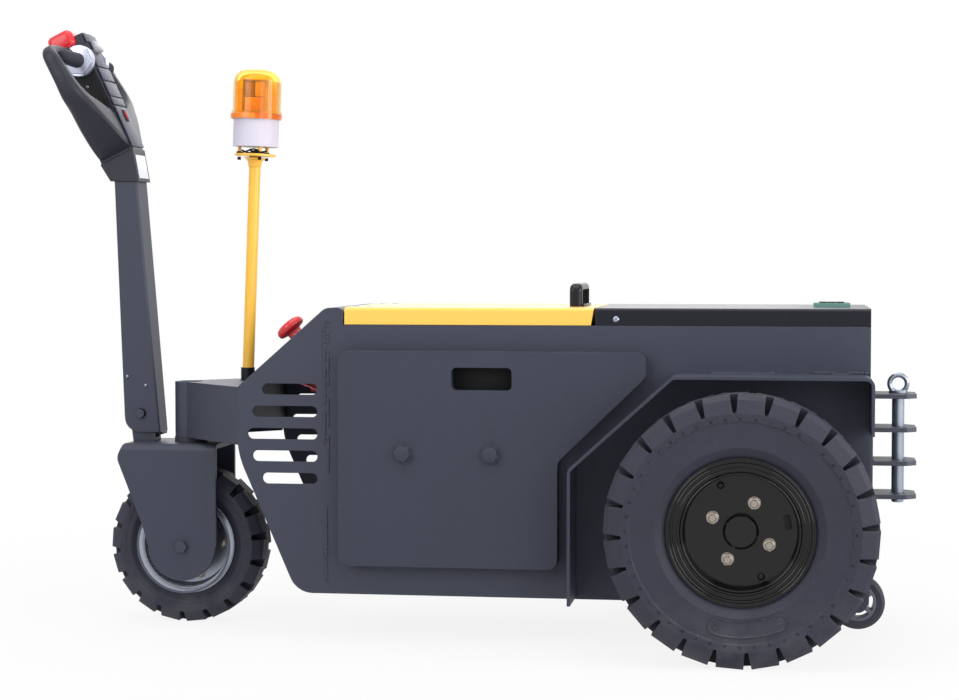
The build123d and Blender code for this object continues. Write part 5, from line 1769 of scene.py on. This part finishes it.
    def foot_fittings(self) -> None:
        """Small screws on each side of the arm's foot, and the rubber stop behind it."""
        low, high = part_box("tiller_arm")
        screws = Form()
        for side in Side:
            for x, z in self.foot_screws:
                half = 0.025 + 0.006 * (z - low.z) / (high.z - low.z)
                screw = dome_screw(self.foot_screw_radius, height=0.0026)
                screws.joined(screw.placed(outboard(side, x, half, z)))
        self.fit(screws, "foot_screws", "tiller", ZINC, "zinc")
        stop = Form.block(self.stop_size, edge=0.002, steps=3)
        stop.placed(Matrix.Translation((low.x + 0.003, 0, low.z - 0.0045)))
        self.fit(stop, "foot_stop", "tiller", GRIP_BLACK, "grip_black")


@dataclass
class Beacon(Assembly):
    """The pole, its plate on three screws, the white base and the amber lens.

    Attributes:
        lean: How far the beacon leans back, in degrees.
        standoffs: How many screws carry the base.
        circle: The circle that they stand on.
        inner_profile: Radius and height of each point of the inner lens, a thin dome.
        post_x: How far from the axis the lamp's two posts stand.
        panels: The lamp's panels: name, place across, finish, foot, width and height. The dark and the
            pale one are painted shade and painted reflection on the mirror.
        flare_profile: Radius and height of each point of the flare under the plate.
        wire_routes: The short wires between plate and base, each from the plate's middle.
    """

    lean: float = 2.2
    standoffs: int = 3
    circle: float = 0.028
    inner_profile: tuple[Pair, ...] = (
        (0.0345, 0.0), (0.0345, 0.046), (0.0322, 0.059), (0.0262, 0.0690), (0.0165, 0.0745),
        (0, 0.0765), (0, 0.0750), (0.0158, 0.0730), (0.0252, 0.0677), (0.0309, 0.0582),
        (0.0330, 0.0456), (0.0330, 0.0), (0.0345, 0.0),
    )
    band_wall: float = 0.002
    band_proud: float = 0.0003
    band_height: float = 0.0098
    post_x: float = 0.0195
    panel_depth: float = 0.026
    panels: tuple[tuple[str, float, Finish, float, float, float], ...] = (
        # The dark and the pale panels are halves of one mirror: painted shade and painted reflection.
        ("dark", 0.0090, LAMP_PAINTED_SHADE, 0.033, 0.0172, 0.026),
        ("pale", -0.0090, LAMP_PAINTED_REFLECTION, 0.033, 0.0172, 0.026),
        ("low", 0.0, LAMP_YELLOW, 0.008, 0.035, 0.024),
    )
    plate_drop: float = 0.006
    flare_profile: tuple[Pair, ...] = (
        (0.0101, -0.020), (0.0112, -0.0195), (0.0120, -0.012), (0.0150, -0.007),
        (0.0200, -0.0042), (0.0101, -0.0042), (0.0101, -0.020),
    )
    wire_radius: float = 0.0014
    wire_routes: tuple[tuple[Point, ...], ...] = (
        ((0.018, 0.016, 0.004), (0.010, 0.026, 0.005), (-0.004, 0.028, 0.0095), (-0.016, 0.020, 0.006)),
        ((0.022, 0.006, 0.008), (0.008, 0.020, 0.0035), (-0.010, 0.024, 0.004), (-0.022, 0.010, 0.007)),
        ((0.006, 0.012, 0.0095), (0.001, 0.024, 0.006), (-0.012, 0.027, 0.0065), (-0.020, 0.019, 0.0038)),
    )

    def build(self) -> None:
        """Dresses the beacon and adds its inner lens, lamp, bolts, flare and short wires."""
        self.coat_nodes(POLE_YELLOW, "beacon_pole", "beacon_mount")
        self.coat_nodes(BEACON_WHITE, "beacon_base")
        self.coat_nodes(LENS_AMBER, "beacon_lens")
        angle = math.radians(self.lean)
        self.axis = Vector((-math.sin(angle), 0, math.cos(angle)))
        low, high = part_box("beacon_lens")
        self.foot = (low + high) / 2 - self.axis * (high - low).z / 2
        self.foot.y = (low.y + high.y) / 2
        self.lens_radius = (high.y - low.y) / 2
        plate_low, plate_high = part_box("beacon_mount")
        self.plate_middle = (plate_low + plate_high) / 2 - self.axis * self.plate_drop
        self.inner_lens()
        self.lens_band()
        self.lamp()
        self.plate_bolts()
        self.plate_flare()
        self.wires()

    def on_axis(self, origin: Vector, lift: float = 0.0) -> Matrix:
        """The placing of a form that stands on the beacon's axis, above a point of it."""
        return standing(origin + self.axis * lift, self.axis, FORWARD)

    def inner_lens(self) -> None:
        """The smooth inner dome that carries most of the colour, with a faint glow of painted light."""
        dome = Form.turned(self.inner_profile, steps=48).placed(self.on_axis(self.foot, 0.004))
        self.fit(dome, "beacon_inner_lens", "chassis", INNER_AMBER_PAINTED_GLOW, "beacon_amber")

    def lens_band(self) -> None:
        """The opaque band round the lens's foot."""
        inner, outer = self.lens_radius - self.band_wall, self.lens_radius + self.band_proud
        band = Form.ring(inner, outer, self.band_height, cut=(0.0009, 0.0012), steps=64)
        band.placed(self.on_axis(self.foot, 0.0006))
        self.fit(band, "beacon_lens_band", "chassis", RING_ORANGE, "beacon_amber")

    def lamp(self) -> None:
        """The lamp that shows through the lens: its frame and its three reflecting panels, two of them
        coloured with painted shade and painted reflection.
        """
        place = self.on_axis(self.foot, 0.006)
        frame = Form.ring(0, 0.030, 0.008, cut=(0.003, 0.002), steps=40)
        for x in (-self.post_x, self.post_x):
            post = Form.block((0.002, 0.034, 0.054), edge=0.0006)
            frame.joined(post.placed(Matrix.Translation((x, 0, 0.007))))
        lid = Form.block((0.041, 0.036, 0.002), edge=0.0006)
        frame.joined(lid.placed(Matrix.Translation((0, 0, 0.060))))
        self.fit(frame.placed(place), "beacon_lamp_frame", "chassis", BEACON_WHITE, "beacon_white")
        for name, x, finish, foot, width, height in self.panels:
            panel = Form.block((width, self.panel_depth, height), edge=0.0012)
            panel.placed(place @ Matrix.Translation((x, 0, foot)))
            self.fit(panel, f"beacon_lamp_{name}", "chassis", finish, "beacon_amber")

    def plate_bolts(self) -> None:
        """The dark bolt head under the plate at each standoff, and the collar above it."""
        bolts = Form()
        for index in range(self.standoffs):
            turn = math.tau * index / self.standoffs
            spot = (self.circle * math.cos(turn), self.circle * math.sin(turn), -0.0085)
            place = self.on_axis(self.plate_middle) @ Matrix.Translation(spot)
            bolts.joined(hex_bolt(flats=0.0055, head=0.0050).placed(place))
            collar = Form.ring(0.0032, 0.0050, 0.0040, cut=(0.0006, 0.001), steps=16)
            bolts.joined(collar.placed(place @ Matrix.Translation((0, 0, 0.0105))))
        self.fit(bolts, "beacon_plate_bolts", "chassis", SHADOW_BLACK, "cover_black")

    def plate_flare(self) -> None:
        """The flare in which the pole widens under the plate."""
        flare = Form.turned(self.flare_profile, steps=40).placed(self.on_axis(self.plate_middle))
        self.fit(flare, "beacon_plate_flare", "chassis", POLE_YELLOW, "pole_yellow")

    def wires(self) -> None:
        """The few short wires between the plate and the base."""
        wires = Form()
        for route in self.wire_routes:
            wires.joined(Form.rod(route, self.wire_radius).placed(self.on_axis(self.plate_middle)))
        self.fit(wires, "beacon_wires", "chassis", SHADOW_BLACK, "cover_black")


@dataclass
class Hitch(Assembly):
    """The stepped hitch with its lift-out pin, and the support wheel under it.

    Attributes:
        top_z: The height of the highest plate's weld.
        pitch: How far apart the plates are.
        weld_setback: How far the welds lie behind the rear plate.
    """

    plate_count: int = 4
    top_z: float = 0.3985
    pitch: float = 0.054
    weld_length: float = 0.086
    weld_radius: float = 0.0028
    weld_setback: float = 0.008

    def build(self) -> None:
        """Dresses the hitch and the support wheel and adds the hitch's welds."""
        # The hitch's paint is lightened as painted light on its lit tops.
        self.coat_nodes(HITCH_LIT_PAINT, "hitch")
        self.coat_nodes(ZINC, "hitch_pin")
        self.coat_nodes(TYRE_RUBBER, "support_tyre")
        self.coat_nodes(HUB_GREY, "support_hub")
        self.plate_welds()

    def plate_welds(self) -> None:
        """A bead along the upper root of each jaw plate."""
        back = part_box("rear_plate")[0].x - self.weld_setback
        beads = Form()
        for level in range(self.plate_count):
            bead = Form.bead(self.weld_length, self.weld_radius, 20 + level)
            origin = (back, -self.weld_length / 2, self.top_z - self.pitch * level)
            beads.joined(bead.placed(standing(origin, UP, LEFTWARD)))
        self.fit(beads, "hitch_welds", "chassis", CHASSIS_PAINT, "body_paint")


@dataclass
class StopButton(Assembly):
    """The emergency stop on the nose's slanted panel.

    Attributes:
        slant: How far the panel's face leans forward from level, in degrees.
        seat: Where the button stands on it.
        head_profile: Radius and height of each point of the neck and the round head.
        wire_route: The wire loop's points: up the slope, off the panel and across from the seat.
    """

    slant: float = 41.5
    seat: Point = (0.2775, 0.060, 0.4818)
    head_profile: tuple[Pair, ...] = (
        (0, 0.0030), (0.0160, 0.0030), (0.0160, 0.0072), (0.0135, 0.0090), (0.0125, 0.0110),
        (0.0125, 0.0185), (0.0165, 0.0198), (0.0215, 0.0210), (0.0242, 0.0230), (0.025, 0.0260),
        (0.025, 0.0290), (0.0240, 0.0322), (0.0212, 0.0348), (0.0165, 0.0364), (0.0100, 0.0370),
        (0, 0.0366),
    )
    wire_radius: float = 0.0009
    wire_route: tuple[Point, ...] = (
        (0.0245, 0.001, 0.016), (0.0300, 0.0065, 0.014), (0.0370, 0.0090, 0.010),
        (0.0440, 0.0070, 0.006), (0.0480, 0.0010, 0.004),
    )

    def build(self) -> None:
        """Replaces the plain button with a moulded one, and adds the wire loop behind it."""
        angle = math.radians(self.slant)
        self.out = Vector((math.sin(angle), 0, math.cos(angle)))
        self.up = Vector((-math.cos(angle), 0, math.sin(angle)))
        self.button()
        self.wire_loop()

    def button(self) -> None:
        """The dark collar on the panel, and the red neck and head on it."""
        place = standing(self.seat, self.out, LEFTWARD)
        collar = Form.ring(0, 0.0195, 0.0040, cut=(0.0015, 0.0015), steps=48)
        self.fit(collar.placed(place), "stop_collar", "chassis", GRIP_BLACK, "grip_black")
        head = Form.turned(self.head_profile, steps=64).placed(place)
        button = self.fit(head, "stop_head", "chassis", STOP_RED, "stop_red")
        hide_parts("emergency_stop")

    def wire_loop(self) -> None:
        """The thin wire that leaves the button and goes back into the panel."""
        route = [
            Vector(self.seat) + self.up * rise + self.out * off + Vector((0, across, 0))
            for rise, off, across in self.wire_route
        ]
        wire = Form.rod(route, self.wire_radius)
        self.fit(wire, "stop_wire", "chassis", SHADOW_BLACK, "cover_black")


@dataclass(frozen=True)
class Studio:
    """The floor, the soft lights and the camera of the picture.

    Attributes:
        eye: Where the camera stands.
        heading: The level direction that it looks along.
        pitch: How far it looks down, in degrees.
        focal: Its focal length, in millimetres.
        sensor: The width of its sensor, in millimetres.
        floor_half: Half the width of the floor.
        floor_shades: The darkest and the lightest grey of the floor.
        shadow_reach: Where the floor starts to fade into the white, and where it is all white.
        shadow_white: The share of white that the floor has near the machine.
        soft_light: How strong the light from all round is.
        lamps: The lamps: name, place, what they point at, size and power.
    """

    eye: Point = (-0.529, 3.518, 0.6155)
    heading: Point = (0.14496, -0.98944, 0.0)
    pitch: float = 2.44
    focal: float = 79.9
    sensor: float = 36.0
    floor_half: float = 30.0
    floor_shades: Pair = (0.70, 0.75)
    shadow_reach: Pair = (0.75, 1.7)
    shadow_white: float = 0.87
    soft_light: float = 0.5
    lamps: tuple[tuple[str, Point, Point, float, float], ...] = (
        ("top", (0.0, 0.6, 3.4), (0.0, 0.0, 0.3), 3.2, 62.0),
        ("key", (2.4, 3.2, 2.2), (0.1, 0.0, 0.4), 2.4, 58.0),
        ("fill", (-2.8, 3.0, 1.4), (-0.2, 0.0, 0.35), 2.4, 40.0),
        ("back", (0.6, -3.2, 2.4), (0.0, 0.0, 0.4), 2.6, 40.0),
        ("rear", (-3.4, 0.7, 1.3), (0.2, 0.0, 0.5), 1.6, 58.0),
    )

    def build(self) -> None:
        """Makes the whole studio."""
        self.camera()
        self.floor()
        self.lights()
        self.world()

    def camera(self) -> None:
        """The camera at the photograph's place, without depth of field."""
        data = bpy.data.cameras.new("picture camera")
        data.lens = self.focal
        data.sensor_width = self.sensor
        data.sensor_fit = "HORIZONTAL"
        camera = scene_object("picture camera", data)
        drop = math.radians(self.pitch)
        look = Vector(self.heading) * math.cos(drop) - Vector((0, 0, math.sin(drop)))
        camera.matrix_world = looking(self.eye, look)
        bpy.context.scene.camera = camera

    def floor(self) -> None:
        """A wide pale floor that keeps the machine's shadow and shows white to the camera."""
        mesh = bmesh.new()
        bmesh.ops.create_grid(mesh, x_segments=1, y_segments=1, size=self.floor_half)
        data = bpy.data.meshes.new("floor")
        mesh.to_mesh(data)
        mesh.free()
        floor = scene_object("floor", data)
        material, graph = bare_material("floor")
        dark, light = ((shade, shade, shade, 1.0) for shade in self.floor_shades)
        speckle = graph.blend(graph.noise(40.0, detail=3.0), dark, light)
        matt = graph.add("ShaderNodeBsdfDiffuse", {"Color": speckle})
        white = graph.add("ShaderNodeEmission", {"Color": (1, 1, 1, 1), "Strength": 1.0})
        seen = self.looked_at(graph)
        away = graph.add("ShaderNodeVectorMath", {0: graph.place()}, operation="LENGTH").outputs["Value"]
        far = graph.above(away, *self.shadow_reach)
        share = graph.math("MULTIPLY", seen, graph.spread(far, self.shadow_white, 1.0))
        mixed = graph.add("ShaderNodeMixShader", {0: share, 1: matt.outputs[0], 2: white.outputs[0]})
        graph.add("ShaderNodeOutputMaterial", {"Surface": mixed.outputs[0]})
        floor.data.materials.append(material)

    def lights(self) -> None:
        """Large soft lamps: above, on both sides of the camera, behind the machine and at its rear."""
        for name, place, target, size, power in self.lamps:
            data = bpy.data.lights.new(f"{name} lamp", "AREA")
            data.shape = "SQUARE"
            data.size = size
            data.energy = power
            lamp = scene_object(f"{name} lamp", data)
            lamp.matrix_world = looking(place, Vector(target) - Vector(place))

    @staticmethod
    def looked_at(graph: ShaderGraph) -> bpy.types.NodeSocket:
        """1 where the camera looks, straight, in a reflection or through glass."""
        path = graph.add("ShaderNodeLightPath")
        mirrored = graph.math("MAXIMUM", path.outputs["Is Camera Ray"], path.outputs["Is Glossy Ray"])
        return graph.math("MAXIMUM", mirrored, path.outputs["Is Transmission Ray"])

    def world(self) -> None:
        """A plain world: soft light on the machine, white behind it."""
        world = bpy.data.worlds.new("studio world")
        bpy.context.scene.world = world
        world.use_nodes = True
        world.node_tree.nodes.clear()
        graph = ShaderGraph(world.node_tree)
        seen = self.looked_at(graph)
        soft = graph.add("ShaderNodeBackground", {"Color": (1, 1, 1, 1), "Strength": self.soft_light})
        white = graph.add("ShaderNodeBackground", {"Color": (1, 1, 1, 1), "Strength": 1.0})
        mixed = graph.add("ShaderNodeMixShader", {0: seen, 1: soft.outputs[0], 2: white.outputs[0]})
        graph.add("ShaderNodeOutputWorld", {"Surface": mixed.outputs[0]})


def main() -> None:
    """Loads the frame, dresses the machine and sets up the picture."""
    logging.basicConfig(level=logging.INFO, format="%(message)s")
    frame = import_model()
    nodes = frame["nodes"]
    shop = MaterialShop()
    assemblies: list[Assembly] = [
        Chassis(shop, nodes),
        Covers(shop, nodes),
        RearWheel(shop, nodes, side=Side.LEFT),
        RearWheel(shop, nodes, side=Side.RIGHT),
        Steering(shop, nodes),
        Tiller(shop, nodes),
        Beacon(shop, nodes),
        Hitch(shop, nodes),
        StopButton(shop, nodes),
    ]
    for assembly in assemblies:
        LOG.info("building %s", type(assembly).__name__)
        assembly.build()
    Studio().build()
    bpy.context.scene.view_settings.view_transform = "Standard"


if __name__ == "__main__":
    main()
